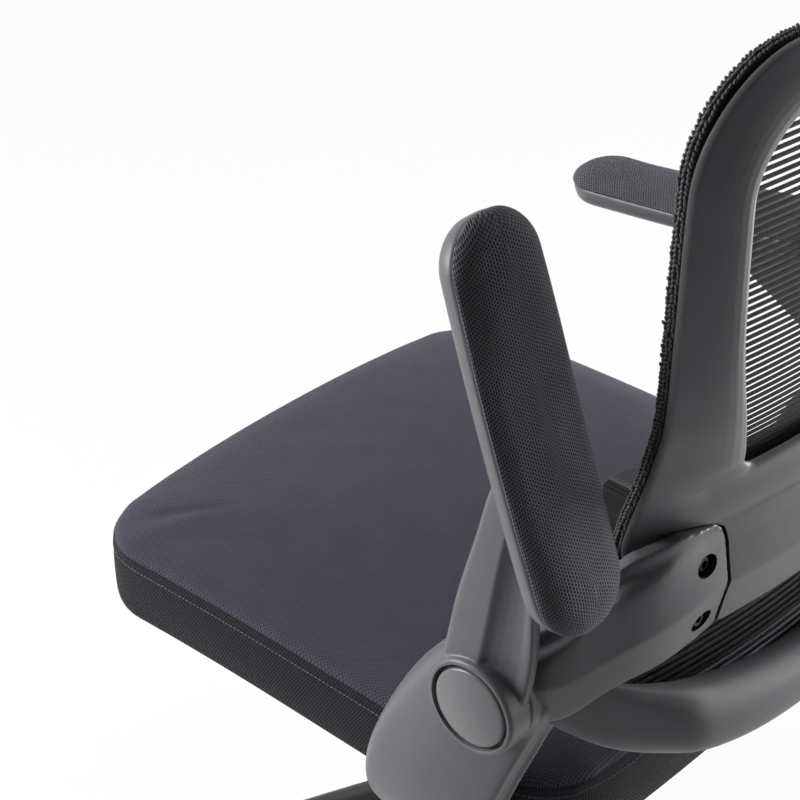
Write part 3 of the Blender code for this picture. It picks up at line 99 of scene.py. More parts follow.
def moulded_grain():
    """Fine spark-eroded grain, faint flow marks and a few specks of dust."""
    group, given, out = effect("moulded_grain", [("Place", "Vector"), ("Colour", "Color"), ("Grain", "Float"),
                                                 ("Gloss", "Float"), ("Dust", "Float")],
                               [("Colour", "Color"), ("Roughness", "Float"), ("Height", "Float")])
    place = given.outputs["Place"]
    fine = add(group, "ShaderNodeTexNoise", {"Vector": place, "Scale": given.outputs["Grain"], "Detail": 2.0,
                                             "Roughness": 0.6})
    flow = add(group, "ShaderNodeTexNoise", {"Vector": place, "Scale": 11.0, "Detail": 3.0, "Roughness": 0.55})
    specks = add(group, "ShaderNodeTexVoronoi", {"Vector": place, "Scale": 85.0, "Randomness": 1.0})
    near = spread(group, specks.outputs["Distance"], 0.03, 0.06, 1.0, 0.0)
    lucky = add(group, "ShaderNodeSeparateColor", {"Color": specks.outputs["Color"]})
    rare = sums(group, "GREATER_THAN", lucky.outputs[0], 0.965)
    dust = sums(group, "MULTIPLY", sums(group, "MULTIPLY", near, rare), given.outputs["Dust"])
    level = spread(group, flow.outputs["Fac"], 0.3, 0.7, 0.93, 1.05, "LINEAR")
    tint = add(group, "ShaderNodeVectorMath", {0: given.outputs["Colour"]}, operation="SCALE")
    group.links.new(level, tint.inputs["Scale"])
    group.links.new(blend(group, dust, tint.outputs[0], (0.42, 0.42, 0.43, 1.0)), out.inputs["Colour"])
    rough = sums(group, "ADD", given.outputs["Gloss"],
                 spread(group, fine.outputs["Fac"], 0.3, 0.7, -0.05, 0.07))
    group.links.new(rough, out.inputs["Roughness"])
    group.links.new(fine.outputs["Fac"], out.inputs["Height"])
    return group


grain_group = moulded_grain()


def tone(colour, level=1.0):
    """A colour at a level, with the alpha that a socket takes."""
    return (*[c * level for c in colour], 1.0)


def new_finish(name, values=None):
    """A material with one shader and some of its values; returns it with its tree and shader."""
    finish = bpy.data.materials.new(name)
    finish.use_nodes = True
    shader = finish.node_tree.nodes["Principled BSDF"]
    for key, value in (values or {}).items():
        shader.inputs[key].default_value = value
    return finish, finish.node_tree, shader


def raised(tree, shader, height, strength, depth):
    """Puts a height on a shader as fine relief."""
    relief = add(tree, "ShaderNodeBump", {"Strength": strength, "Distance": depth, "Height": height})
    tree.links.new(relief.outputs["Normal"], shader.inputs["Normal"])


def plastic(name, colour, gloss, grain, depth, dust=0.0):
    """Moulded plastic: the grain's colour, roughness and height on one shader."""
    finish, tree, shader = new_finish(name)
    place = add(tree, "ShaderNodeTexCoord").outputs["Object"]
    grains = add(tree, "ShaderNodeGroup", {"Place": place, "Colour": tone(colour), "Grain": grain,
                                           "Gloss": gloss, "Dust": dust}, node_tree=grain_group)
    tree.links.new(grains.outputs["Colour"], shader.inputs["Base Color"])
    tree.links.new(grains.outputs["Roughness"], shader.inputs["Roughness"])
    raised(tree, shader, grains.outputs["Height"], 0.25, depth)
    return finish


def shade(item, finish, crease=35.0):
    """Gives a mesh its finish, smooth faces and sharp creases."""
    mesh = item.data
    mesh.materials.clear()
    mesh.materials.append(finish)
    mesh.polygons.foreach_set("use_smooth", [True] * len(mesh.polygons))
    mesh.set_sharp_from_angle(angle=math.radians(crease))
    mesh.update()
    return item


def linked(name, data):
    """An object for a mesh, lamp or camera, put in the scene."""
    item = bpy.data.objects.new(name, data)
    bpy.context.collection.objects.link(item)
    return item


def piece(name, corners, faces, welded=False):
    """An object from corners and faces that face outward, with corners in one place welded if asked."""
    mesh = bpy.data.meshes.new(name)
    mesh.from_pydata([tuple(corner) for corner in corners], [], faces)
    mesh.validate()
    bm = bmesh.new()
    bm.from_mesh(mesh)
    if welded:
        bmesh.ops.remove_doubles(bm, verts=bm.verts, dist=1e-6)
    bmesh.ops.recalc_face_normals(bm, faces=bm.faces)
    bm.to_mesh(mesh)
    bm.free()
    return linked(name, mesh)


def skin(rings, closed=False):
    """Corners and faces of a skin over rings of equal length, capped with fans where it isn't closed."""
    count = len(rings[0])
    corners = [Vector(point) for ring in rings for point in ring]
    faces = []
    runs = len(rings) if closed else len(rings) - 1
    for i in range(runs):
        low = i * count
        high = ((i + 1) % len(rings)) * count
        for j in range(count):
            k = (j + 1) % count
            faces.append((low + j, low + k, high + k, high + j))
    if not closed:
        for start in (0, (len(rings) - 1) * count):
            middle = sum((corners[start + j] for j in range(count)), Vector()) / count
            corners.append(middle)
            for j in range(count):
                faces.append((start + j, start + (j + 1) % count, len(corners) - 1))
    return corners, faces


def spun(profile, steps, centre, axis="Z"):
    """Corners and faces of a profile of (radius, along) turned about an axis, closed on the axis."""
    rings = []
    for i in range(steps):
        angle = 2 * math.pi * i / steps
        ring = []
        for radius, along in profile:
            a = radius * math.cos(angle)
            b = radius * math.sin(angle)
            spot = {"X": (along, a, b), "Y": (b, along, a), "Z": (a, b, along)}[axis]
            ring.append(Vector(spot) + Vector(centre))
        rings.append(ring)
    corners = [point for ring in rings for point in ring]
    count = len(profile)
    faces = []
    for i in range(steps):
        low = i * count
        high = ((i + 1) % steps) * count
        for j in range(count - 1):
            faces.append((low + j, high + j, high + j + 1, low + j + 1))
    for end in (0, count - 1):
        if profile[end][0] > 1e-6 and profile[0] != profile[-1]:
            corners.append(sum((ring[end] for ring in rings), Vector()) / steps)
            for i in range(steps):
                faces.append((i * count + end, ((i + 1) % steps) * count + end, len(corners) - 1))
    return corners, faces


def rod(radius, low, high, steps, centre, axis="Z"):
    """Corners and faces of a plain round bar, to drill with or to add."""
    return spun([(0.0, low), (radius, low), (radius, high), (0.0, high)], steps, centre, axis)


def settled(item):
    """Applies a piece's modifiers to its mesh."""
    view = bpy.context.evaluated_depsgraph_get()
    mesh = bpy.data.meshes.new_from_object(item.evaluated_get(view))
    old = item.data
    item.modifiers.clear()
    item.data = mesh
    bpy.data.meshes.remove(old)
    mesh.name = item.name
    return item


def gathered(name, shells):
    """One object from separate closed shells, each facing outward."""
    bm = bmesh.new()
    for corners, faces in shells:
        shell = piece(name, corners, faces)
        bm.from_mesh(shell.data)
        bpy.data.objects.remove(shell)
    mesh = bpy.data.meshes.new(name)
    bm.to_mesh(mesh)
    bm.free()
    return linked(name, mesh)


def fused(name, shells, grid, rounds):
    """One moulding from overlapping closed shells, with the small fillets that a mould leaves."""
    item = gathered(name, shells)
    remesh = item.modifiers.new("mould", "REMESH")
    remesh.mode = "VOXEL"
    remesh.voxel_size = grid
    fillet = item.modifiers.new("fillet", "SMOOTH")
    fillet.factor = 0.5
    fillet.iterations = rounds
    return settled(item)


def joined(item, other, operation):
    """Adds another piece to a piece, or cuts it away, and uses the other one up."""
    maker = item.modifiers.new("join", "BOOLEAN")
    maker.operation = operation
    maker.solver = "EXACT"
    maker.object = other
    settled(item)
    bpy.data.objects.remove(other)
    return item


def hollowed(item, shells):
    """Cuts shells that stand apart from each other out of a piece."""
    return joined(item, gathered(item.name + "_tool", shells), "DIFFERENCE")


black_nylon = plastic("black_nylon", (0.021, 0.021, 0.023), 0.40, 900.0, 0.00010)

HUB_TOP = 0.150
LEG_ROOT, LEG_RINGS = 0.0245, 14
LIFT_BORE, STEM_BORE, STEM_DEEP = 0.02545, 0.0059, 0.0203
LEG_REACH = math.hypot(*joints["caster_1_swivel"]["pos_m"][:2])
leg_spots = [Vector(joints[f"caster_{k}_swivel"]["pos_m"]) for k in range(1, 6)]
BOSS_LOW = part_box("star_base")[0][2]


def leg_shell(spot):
    turn = Matrix.Rotation(math.atan2(spot.y, spot.x), 4, "Z")
    rings = []
    for i in range(LEG_RINGS + 1):
        share = i / LEG_RINGS
        reach = LEG_ROOT + (LEG_REACH - LEG_ROOT) * share
        half = 0.027 - 0.010 * share
        top = 0.1435 - 0.0495 * share ** 1.35
        low = 0.096 + (BOSS_LOW + 0.002 - 0.096) * share ** 0.8
        section = [(half, low), (half, top - 0.013), (half - 0.003, top - 0.006),
                   (half - 0.009, top - 0.0022), (0.0, top), (0.009 - half, top - 0.0022),
                   (0.003 - half, top - 0.006), (-half, top - 0.013), (-half, low)]
        rings.append([turn @ Vector((reach, across, height)) for across, height in section])
    return skin(rings)


base_hub = [(0.0, 0.076), (0.044, 0.076), (0.049, 0.096), (0.049, 0.139), (0.046, 0.147), (0.041, HUB_TOP),
            (0.0, HUB_TOP)]
boss_profile = [(0.0, BOSS_LOW), (0.021, BOSS_LOW), (0.021, 0.089), (0.0185, 0.0945), (0.014, 0.096),
                (0.0, 0.096)]
base_shells = [spun(base_hub, 64, (0, 0, 0))]
base_tools = [rod(LIFT_BORE, 0.06, 0.17, 64, (0, 0, 0))]
for spot in leg_spots:
    flat = (spot.x, spot.y, 0)
    base_shells += [leg_shell(spot), spun(boss_profile, 40, flat)]
    base_tools.append(rod(STEM_BORE, BOSS_LOW - 0.01, BOSS_LOW + STEM_DEEP, 24, flat))
base = fused("base_moulding", base_shells, 0.0021, 5)
hollowed(base, base_tools)
shade(base, black_nylon, 50.0)
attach(base, "base")
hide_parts("star_base")


# Casters: a nylon hood over two hard wheels on one steel axle, turning on a steel stem in the leg's boss.
# The hood is one moulding with a web between the wheels, and each wheel is a dished disc with a polished rim.

WHEEL = 0.025
TRAIL = 0.018
wheel_black = plastic("wheel_black", (0.017, 0.017, 0.018), 0.30, 700.0, 0.00004)


def spun_piece(name, profile, steps, centre, axis="Z"):
    return piece(name, *spun(profile, steps, centre, axis), welded=True)


def steel(name, colour, gloss):
    """Ground steel: fine turning lines in its roughness and relief."""
    finish, tree, shader = new_finish(name, {"Metallic": 1.0})
    place = add(tree, "ShaderNodeTexCoord").outputs["Object"]
    stretch = add(tree, "ShaderNodeMapping", {"Vector": place, "Scale": (1.0, 1.0, 9.0)})
    turned = add(tree, "ShaderNodeTexNoise", {"Vector": stretch.outputs[0], "Scale": 260.0, "Detail": 3.0})
    lines = turned.outputs["Fac"]
    tree.links.new(blend(tree, lines, tone(colour, 0.86), tone(colour)), shader.inputs["Base Color"])
    tree.links.new(spread(tree, lines, 0.3, 0.7, gloss - 0.06, gloss + 0.08), shader.inputs["Roughness"])
    raised(tree, shader, lines, 0.1, 0.00003)
    return finish


bright_steel = steel("bright_steel", (0.56, 0.56, 0.57), 0.26)


def hood_shells():
    inner = WHEEL + 0.0018
    outer = inner + 0.0026
    half = 0.0228
    arc = [math.radians(28 + 124 * i / 30) for i in range(31)]
    rings = []
    for a in arc:
        c, s = math.cos(a), math.sin(a)
        section = [(inner, -half), (outer - 0.0009, -half), (outer, -half + 0.0012), (outer, half - 0.0012),
                   (outer - 0.0009, half), (inner, half)]
        rings.append([Vector((r * c - TRAIL, y, WHEEL + r * s)) for r, y in section])
    middle = (inner + outer) / 2
    side = [(middle * math.cos(a), middle * math.sin(a)) for a in arc[1:-1]]
    side += [(-0.010, -0.008), (0.010, -0.008)]
    web = [[Vector((x - TRAIL, y, WHEEL + z)) for x, z in side] for y in (-0.0045, 0.0045)]
    top = BOSS_LOW - 0.0015
    boss = spun([(0.0, top - 0.013), (0.0105, top - 0.013), (0.0105, top - 0.0008), (0.0097, top), (0.0, top)],
                32, (0, 0, 0))
    return [skin(rings), skin(web), boss]


hood_pattern = fused("hood_pattern", hood_shells(), 0.0008, 3)
shade(hood_pattern, black_nylon, 50.0)
wheel_profile = [(0.0033, 0.0048), (0.0228, 0.0048), (0.0243, 0.0056), (0.0250, 0.0078), (0.0250, 0.0196),
                 (0.0246, 0.0214), (0.0234, 0.0226), (0.0218, 0.0228), (0.0212, 0.0222), (0.0205, 0.0211),
                 (0.0120, 0.0199), (0.0112, 0.0206), (0.0070, 0.0208), (0.0062, 0.0198), (0.0033, 0.0188)]
for k, spot in enumerate(leg_spots, start=1):
    turn = math.atan2(spot.y, spot.x) + math.pi / 2
    place = Matrix.Translation((spot.x, spot.y, 0)) @ Matrix.Rotation(turn, 4, "Z")
    hood = linked(f"caster_{k}_hood_moulding", hood_pattern.data.copy())
    hood.data.transform(place)
    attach(hood, f"caster_{k}")
    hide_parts(f"caster_{k}_hood")
    for side, label in ((1, "left"), (-1, "right")):
        ring = [(radius, side * along) for radius, along in wheel_profile]
        wheel = spun_piece(f"caster_{k}_disc_{label}", ring + [ring[0]], 48, (-TRAIL, 0, WHEEL), "Y")
        wheel.data.transform(place)
        shade(wheel, wheel_black, 40.0)
        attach(wheel, f"caster_{k}_wheel_{label}")
        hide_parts(f"caster_{k}_wheel_{label}")
    for part in ("stem", "axle"):
        shade(nodes[f"caster_{k}_{part}"], bright_steel)
bpy.data.objects.remove(hood_pattern)


# Gas lift: a painted outer tube wedged in the base, a nylon guide bush in its mouth, and a ground steel
# cylinder that slides in the bush and carries the mechanism. Its rod stands on a thrust bearing in the tube's
# foot.

satin_black = plastic("satin_black_paint", (0.018, 0.018, 0.019), 0.34, 500.0, 0.00008)
LIFT_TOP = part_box("lift_cylinder")[1][2]
TUBE_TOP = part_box("lift_outer_tube")[1][2]
tube_profile = [(0.0058, 0.048), (0.0225, 0.048), (0.0243, 0.0495), (0.0250, 0.0525),
                (0.0250, TUBE_TOP - 0.0008), (0.0242, TUBE_TOP), (0.0226, TUBE_TOP), (0.0226, 0.0522),
                (0.0058, 0.0522), (0.0058, 0.048)]
tube = spun_piece("lift_tube", tube_profile, 72, (0, 0, 0))
shade(tube, satin_black)
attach(tube, "base")
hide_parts("lift_outer_tube")
bush_profile = [(0.0145, -0.050), (0.0219, -0.050), (0.0219, 0.0003), (0.0246, 0.0003), (0.0250, 0.0010),
                (0.0247, 0.0034), (0.0238, 0.0042), (0.0155, 0.0042), (0.0145, 0.0032), (0.0145, -0.050)]
bush = spun_piece("lift_bush", [(radius, TUBE_TOP + along) for radius, along in bush_profile], 72, (0, 0, 0))
shade(bush, black_nylon)
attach(bush, "base")
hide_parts("lift_guide_bush")
column_profile = [(0.0058, 0.072), (0.0134, 0.072), (0.0140, 0.0726), (0.0140, LIFT_TOP - 0.004),
                  (0.0132, LIFT_TOP - 0.003), (0.0040, LIFT_TOP - 0.003), (0.0040, LIFT_TOP - 0.0005),
                  (0.0035, LIFT_TOP), (0.0008, LIFT_TOP), (0.0008, 0.294), (0.0058, 0.294), (0.0058, 0.072)]
cylinder = spun_piece("lift_column", column_profile, 72, (0, 0, 0))
shade(cylinder, bright_steel)
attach(cylinder, "lift")
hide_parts("lift_cylinder")
shade(nodes["lift_thrust_bearing"], bright_steel)
shade(nodes["lift_piston_rod"], bright_steel)


# Tilt mechanism: a pressed steel housing on the lift, a seat plate whose ears hang on the tilt axle, a coil
# spring under the plate's front, set by the knob below it, and a bent bar with a paddle that presses the
# lift's button.

HOUSING_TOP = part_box("mechanism_housing")[1][2]
HOUSING_LOW = HOUSING_TOP - 0.050
side_view = [(-0.125, HOUSING_TOP), (-0.125, HOUSING_LOW + 0.012), (-0.113, HOUSING_LOW),
             (0.038, HOUSING_LOW), (0.058, HOUSING_LOW + 0.012), (0.058, HOUSING_TOP - 0.024),
             (-0.008, HOUSING_TOP)]
housing = piece("mechanism_case", *skin([[Vector((x, y, z)) for y, z in side_view] for x in (-0.055, 0.055)]))
rounding = housing.modifiers.new("rounding", "BEVEL")
rounding.width = 0.004
rounding.segments = 4
rounding.limit_method = "ANGLE"
settled(housing)
socket_profile = [(0.0148, -0.010), (0.0225, -0.010), (0.0235, -0.009), (0.0262, 0.002), (0.0148, 0.002),
                  (0.0148, -0.010)]
socket = spun_piece("mechanism_socket", [(radius, HOUSING_LOW + along) for radius, along in socket_profile], 56,
                    (0, 0, 0))
LEVER_Z = joints["height_lever_rock"]["pos_m"][2]
KNOB_Y = joints["tension_knob_turn"]["pos_m"][1]
spring_pocket = [(0.0, 0.2), (0.0055, 0.2), (0.0055, HOUSING_LOW + 0.009), (0.016, HOUSING_LOW + 0.009),
                 (0.016, 0.4), (0.0, 0.4)]
hollowed(housing, [rod(0.0146, 0.2, 0.4, 56, (0, 0, 0)), spun(spring_pocket, 40, (0, KNOB_Y, 0)),
                   rod(0.0064, -0.1, 0.1, 32, (0, -0.03, LEVER_Z), "X")])
hollowed(housing, [rod(0.0095, -0.1, 0.012, 32, (0, 0, LEVER_Z), "X")])
for item in (housing, socket):
    shade(item, satin_black)
    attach(item, "lift")
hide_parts("mechanism_housing")
shade(nodes["seat_plate"], satin_black)
shade(nodes["tilt_axle"], bright_steel)


def built(name, tree, finish, settings, source=None):
    """Runs a geometry tree on a mesh and keeps the result as a plain mesh."""
    item = linked(name, source or bpy.data.meshes.new(name))
    maker = item.modifiers.new("maker", "NODES")
    maker.node_group = tree
    names = {socket.name: socket.identifier for socket in tree.interface.items_tree if socket.in_out == "INPUT"}
    for label, value in settings.items():
        maker[names[label]] = value
    maker[names["Finish"]] = finish
    return settled(item)


def tree_of(name, takes):
    """A geometry tree with named inputs; returns it with its inner input and output nodes."""
    tree = bpy.data.node_groups.new(name, "GeometryNodeTree")
    tree.interface.new_socket(name="Geometry", in_out="INPUT", socket_type="NodeSocketGeometry")
    for label, kind in takes + [("Finish", "Material")]:
        tree.interface.new_socket(name=label, in_out="INPUT", socket_type="NodeSocket" + kind)
    tree.interface.new_socket(name="Geometry", in_out="OUTPUT", socket_type="NodeSocketGeometry")
    return tree, tree.nodes.new("NodeGroupInput"), tree.nodes.new("NodeGroupOutput")


def finished(tree, given, out, shape):
    """Ends a geometry tree: real instances, smooth faces and the finish."""
    real = add(tree, "GeometryNodeRealizeInstances", {"Geometry": shape})
    smooth = add(tree, "GeometryNodeSetShadeSmooth", {"Geometry": real.outputs[0]})
    dressed = add(tree, "GeometryNodeSetMaterial", {"Geometry": smooth.outputs[0],
                                                    "Material": given.outputs["Finish"]})
    tree.links.new(dressed.outputs[0], out.inputs["Geometry"])


def coil_tree():
    """A round wire wound up from its foot."""
    tree, given, out = tree_of("coil", [("Radius", "Float"), ("Wire", "Float"), ("Turns", "Float"),
                                        ("Height", "Float"), ("Foot", "Vector")])
    take = given.outputs
    spiral = add(tree, "GeometryNodeCurveSpiral", {"Resolution": 40, "Rotations": take["Turns"],
                                                   "Start Radius": take["Radius"], "End Radius": take["Radius"],
                                                   "Height": take["Height"]})
    wire = add(tree, "GeometryNodeCurvePrimitiveCircle", {"Resolution": 14, "Radius": take["Wire"]})
    coil = add(tree, "GeometryNodeCurveToMesh", {"Curve": spiral.outputs[0], "Profile Curve": wire.outputs[0],
                                                 "Fill Caps": True})
    stood = add(tree, "GeometryNodeTransform", {"Geometry": coil.outputs[0], "Translation": take["Foot"]})
    finished(tree, given, out, stood.outputs[0])
    return tree


spring_low, spring_high = (corner[2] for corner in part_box("tilt_spring"))
spring = built("tilt_coil", coil_tree(), bright_steel,
               {"Radius": 0.011, "Wire": 0.0019, "Turns": 4.5, "Height": spring_high - spring_low - 0.004,
                "Foot": Vector((0, KNOB_Y, spring_low + 0.002))})
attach(spring, "lift")
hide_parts("tilt_spring")


def knob_rings():
    top = HOUSING_LOW - 0.0123
    low = top - 0.034
    stops = [(0.0, low + 0.0015, 0.0), (0.016, low + 0.0015, 0.0), (0.019, low, 0.3),
             (0.0225, low + 0.0006, 0.6), (0.0252, low + 0.0035, 1.0), (0.0260, low + 0.008, 1.0),
             (0.0260, top - 0.008, 1.0), (0.0250, top - 0.003, 0.9), (0.0225, top - 0.0004, 0.5),
             (0.014, top, 0.0), (0.0136, top + 0.001, 0.0), (0.0136, top + 0.0118, 0.0),
             (0.005, top + 0.012, 0.0), (0.005, top + 0.048, 0.0)]
    rings = []
    for radius, height, depth in stops:
        ring = []
        for i in range(96):
            angle = 2 * math.pi * i / 96
            reach = max(radius - 0.003 * depth * (0.5 - 0.5 * math.cos(angle * 8)), 0.0002)
            ring.append(Vector((reach * math.cos(angle), KNOB_Y + reach * math.sin(angle), height)))
        rings.append(ring)
    return rings


knob = shade(piece("tension_grip", *skin(knob_rings())), black_nylon, 40.0)
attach(knob, "tension_knob")
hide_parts("tension_knob")


def between(before, a, b, after, t):
    """A point part of the way from a to b, on a smooth curve through them and their neighbours."""
    return 0.5 * (2 * a + (b - before) * t + (2 * before - 5 * a + 4 * b - after) * t * t
                  + (3 * a - before - 3 * b + after) * t ** 3)


def bent(points, radius, steps, sides):
    """Corners and faces of a round bar along a smooth path."""
    path = []
    for i in range(len(points) - 1):
        before = points[max(i - 1, 0)]
        after = points[min(i + 2, len(points) - 1)]
        path += [between(before, points[i], points[i + 1], after, k / steps) for k in range(steps)]
    path.append(points[-1])
    rings = []
    for i, point in enumerate(path):
        along = (path[min(i + 1, len(path) - 1)] - path[max(i - 1, 0)]).normalized()
        across = along.cross(Vector((0, 1, 0))).normalized()
        rings.append([point + radius * (math.cos(a) * Vector((0, 1, 0)) + math.sin(a) * across)
                      for a in (2 * math.pi * k / sides for k in range(sides))])
    return skin(rings)


PADDLE_Z = LEVER_Z - 0.018
bar = bent([Vector((x, 0, z)) for x, z in ((0.004, LEVER_Z), (-0.055, LEVER_Z), (-0.090, LEVER_Z),
                                           (-0.120, PADDLE_Z), (-0.150, PADDLE_Z), (-0.205, PADDLE_Z))],
           0.004, 10, 20)
paddle_rings = []
for lift, inset in ((-0.0045, 0.004), (-0.0036, 0.0015), (-0.0012, 0.0), (0.0016, 0.0), (0.0036, 0.0012),
                    (0.0045, 0.0038)):
    ring = []
    for i in range(64):
        angle = 2 * math.pi * i / 64
        c, s = math.cos(angle), math.sin(angle)
        ring.append(Vector((-0.210 + (0.035 - inset) * math.copysign(abs(c) ** 0.55, c),
                            (0.013 - inset) * math.copysign(abs(s) ** 0.6, s), PADDLE_Z + lift)))
    paddle_rings.append(ring)
collar = rod(0.0089, -0.055, -0.052, 40, (0, 0, LEVER_Z), "X")
lever = shade(fused("lift_lever", [bar, skin(paddle_rings), collar], 0.0009, 2), black_nylon, 50.0)
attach(lever, "height_lever")
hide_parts("height_lever")


# Seat: a moulded pan carries a foam cushion in two fabrics. The top is a pin-hole weave over a crowned foam,
# the side band is a ribbed weave, and they meet in a seam with a row of topstitching just below it.

SEAM_Z, SEAT_BAND = 0.425, 0.058
SEAT_FRONT, SEAT_REAR = -0.240, 0.254
SEAT_FRONT_HALF, SEAT_REAR_HALF = 0.244, 0.2425
FRONT_BULGE, REAR_BULGE = 0.014, 0.0100
REAR_LEAN, SIDE_LEAN = -0.85, 0.65
# The numbers of two mirrored points of a seat or pad outline add up to this.
OPPOSITE = 146


def curve_at(stops, position):
    """Reads a smooth curve through (position, value) stops."""
    keys = [stop[0] for stop in stops]
    if position <= keys[0]:
        return stops[0][1]
    if position >= keys[-1]:
        return stops[-1][1]
    i = max(k for k in range(len(keys) - 1) if keys[k] <= position)
    span = keys[i + 1] - keys[i]
    t = (position - keys[i]) / span
    before = max(i - 1, 0)
    after = min(i + 2, len(keys) - 1)
    slope_a = (stops[i + 1][1] - stops[before][1]) / (keys[i + 1] - keys[before]) * span
    slope_b = (stops[after][1] - stops[i][1]) / (keys[after] - keys[i]) * span
    a, b = stops[i][1], stops[i + 1][1]
    return (a * (2 * t ** 3 - 3 * t * t + 1) + slope_a * (t ** 3 - 2 * t * t + t) + b * (3 * t * t - 2 * t ** 3)
            + slope_b * (t ** 3 - t * t))


def rounded(corners, steps, runs):
    """An outline with arcs at its corners, given as (x, y, radius), and each straight run in equal parts."""
    arcs = []
    for i, (x, y, radius) in enumerate(corners):
        here = Vector((x, y))
        before = (Vector(corners[i - 1][:2]) - here).normalized()
        after = (Vector(corners[(i + 1) % len(corners)][:2]) - here).normalized()
        half = before.angle(after) / 2
        middle = here + (before + after).normalized() * (radius / math.sin(half))
        first = here + before * (radius / math.tan(half)) - middle
        last = here + after * (radius / math.tan(half)) - middle
        sweep = first.angle_signed(last)
        arcs.append([middle + Matrix.Rotation(-sweep * k / steps, 2) @ first for k in range(steps + 1)])
    points = []
    for i, arc in enumerate(arcs):
        points += arc
        following = arcs[(i + 1) % len(arcs)][0]
        points += [arc[-1].lerp(following, k / runs) for k in range(1, runs)]
    return points


def unit(value):
    """A value held between nought and one."""
    return min(1.0, max(0.0, value))


def seat_outline(inset):
    front, rear = SEAT_FRONT + inset, SEAT_REAR - inset
    front_half, rear_half = SEAT_FRONT_HALF - inset, SEAT_REAR_HALF - inset
    radius = max(0.056 - inset, min(0.020, 0.9 * front_half))
    blunt = max(0.059 - inset, min(0.020, 0.9 * front_half))
    corners = [(-front_half, front, blunt), (-rear_half, rear, radius), (rear_half, rear, radius),
               (front_half, front, blunt)]
    points = []
    for point in rounded(corners, 14, 30):
        across = 1 - min(1.0, abs(point.x) / front_half) ** 2
        forward, backward = unit(point.y / SEAT_FRONT), unit(point.y / SEAT_REAR)
        bulge = REAR_BULGE * backward ** 3 - FRONT_BULGE * forward ** 3
        points.append(Vector((point.x, point.y + across * bulge)))
    return points


def strip_cap(start, count, turn):
    """Faces across a ring that mirrors itself, between each point and the one opposite."""
    first = (turn + count) // 2
    pairs = []
    for k in range(count // 2 + 1):
        i = (first + k) % count
        pairs.append((start + i, start + (turn - i) % count))
    faces = []
    for (a, b), (c, d) in zip(pairs, pairs[1:]):
        corners = list(dict.fromkeys((a, c, d, b)))
        if len(corners) > 2:
            faces.append(tuple(corners))
    return faces


def pillow(rings, turn):
    """Corners and faces of a skin over rings that mirror themselves, with strips across both ends."""
    count = len(rings[0])
    corners, faces = skin(rings)
    corners = corners[:-2]
    faces = faces[:-2 * count]
    return corners, faces + strip_cap(0, count, turn) + strip_cap((len(rings) - 1) * count, count, turn)


def lay_weave(item, spot):
    """Writes the weave's flat coordinates, in metres, from each face corner's place."""
    layer = item.data.uv_layers.new(name="weave")
    mesh = item.data
    for face in mesh.polygons:
        for loop in face.loop_indices:
            layer.data[loop].uv = spot(face, mesh.vertices[mesh.loops[loop].vertex_index].co)


def plumped(item, held, pressure, most):
    """Lets a cover swell over its foam in a short cloth run; no point moves further than most."""
    scene = bpy.context.scene
    group = item.vertex_groups.new(name="held")
    group.add(held, 1.0, "REPLACE")
    cover = item.modifiers.new("cover", "CLOTH")
    cover.settings.quality = 5
    cover.settings.mass = 0.3
    cover.settings.use_pressure = True
    cover.settings.uniform_pressure_force = pressure
    cover.settings.vertex_group_mass = "held"
    cover.settings.effector_weights.gravity = 0.0
    cover.collision_settings.use_collision = False
    cover.point_cache.frame_end = 20
    for step in range(1, 21):
        scene.frame_set(step)
    swollen = item.evaluated_get(bpy.context.evaluated_depsgraph_get()).to_mesh()
    for vertex, moved in zip(item.data.vertices, swollen.vertices):
        shift = moved.co - vertex.co
        if shift.length > most:
            shift *= most / shift.length
        vertex.co += shift
    item.modifiers.clear()
    item.vertex_groups.clear()
    scene.frame_set(1)
    return item


def softened(item, levels=1):
    finer = item.modifiers.new("finer", "SUBSURF")
    finer.levels = finer.render_levels = levels
    return settled(item)


def pin_hole_weave():
    """Rows of small dark holes, each row half a pitch along from the last, between raised threads."""
    group, given, out = effect("pin_hole_weave", [("Place", "Vector"), ("Pitch", "Float"), ("Row", "Float"),
                                                  ("Hole", "Float")],
                               [("Hole", "Float"), ("Height", "Float")])
    flat = add(group, "ShaderNodeSeparateXYZ", {"Vector": given.outputs["Place"]})
    wander = add(group, "ShaderNodeTexNoise", {"Vector": given.outputs["Place"], "Scale": 160.0, "Detail": 1.0})
    sway = spread(group, wander.outputs["Fac"], 0.0, 1.0, -0.16, 0.16, "LINEAR")
    rows = sums(group, "DIVIDE", flat.outputs["Y"], given.outputs["Row"])
    odd = sums(group, "FLOORED_MODULO", sums(group, "FLOOR", rows), 2.0)
    along = sums(group, "DIVIDE", flat.outputs["X"], given.outputs["Pitch"])
    along = sums(group, "ADD", sums(group, "MULTIPLY_ADD", odd, 0.5, along), sway)
    across = sums(group, "SUBTRACT", sums(group, "FRACT", rows), 0.5)
    beside = sums(group, "SUBTRACT", sums(group, "FRACT", along), 0.5)
    far = sums(group, "SQRT", sums(group, "ADD", sums(group, "MULTIPLY", across, across),
                                   sums(group, "MULTIPLY", beside, beside)))
    soft = sums(group, "MULTIPLY", given.outputs["Hole"], 1.5)
    hole = spread(group, far, sums(group, "MULTIPLY", given.outputs["Hole"], 0.6), soft, 1.0, 0.0)
    threads = add(group, "ShaderNodeTexNoise", {"Vector": given.outputs["Place"], "Scale": 2600.0,
                                                "Detail": 2.0})
    height = sums(group, "SUBTRACT", sums(group, "MULTIPLY", threads.outputs["Fac"], 0.35), hole)
    group.links.new(hole, out.inputs["Hole"])
    group.links.new(height, out.inputs["Height"])
    return group


def saw(tree, value):
    """A zigzag: how far a value lies from the middle of its step."""
    return sums(tree, "ABSOLUTE", sums(tree, "SUBTRACT", sums(tree, "FRACT", value), 0.5))


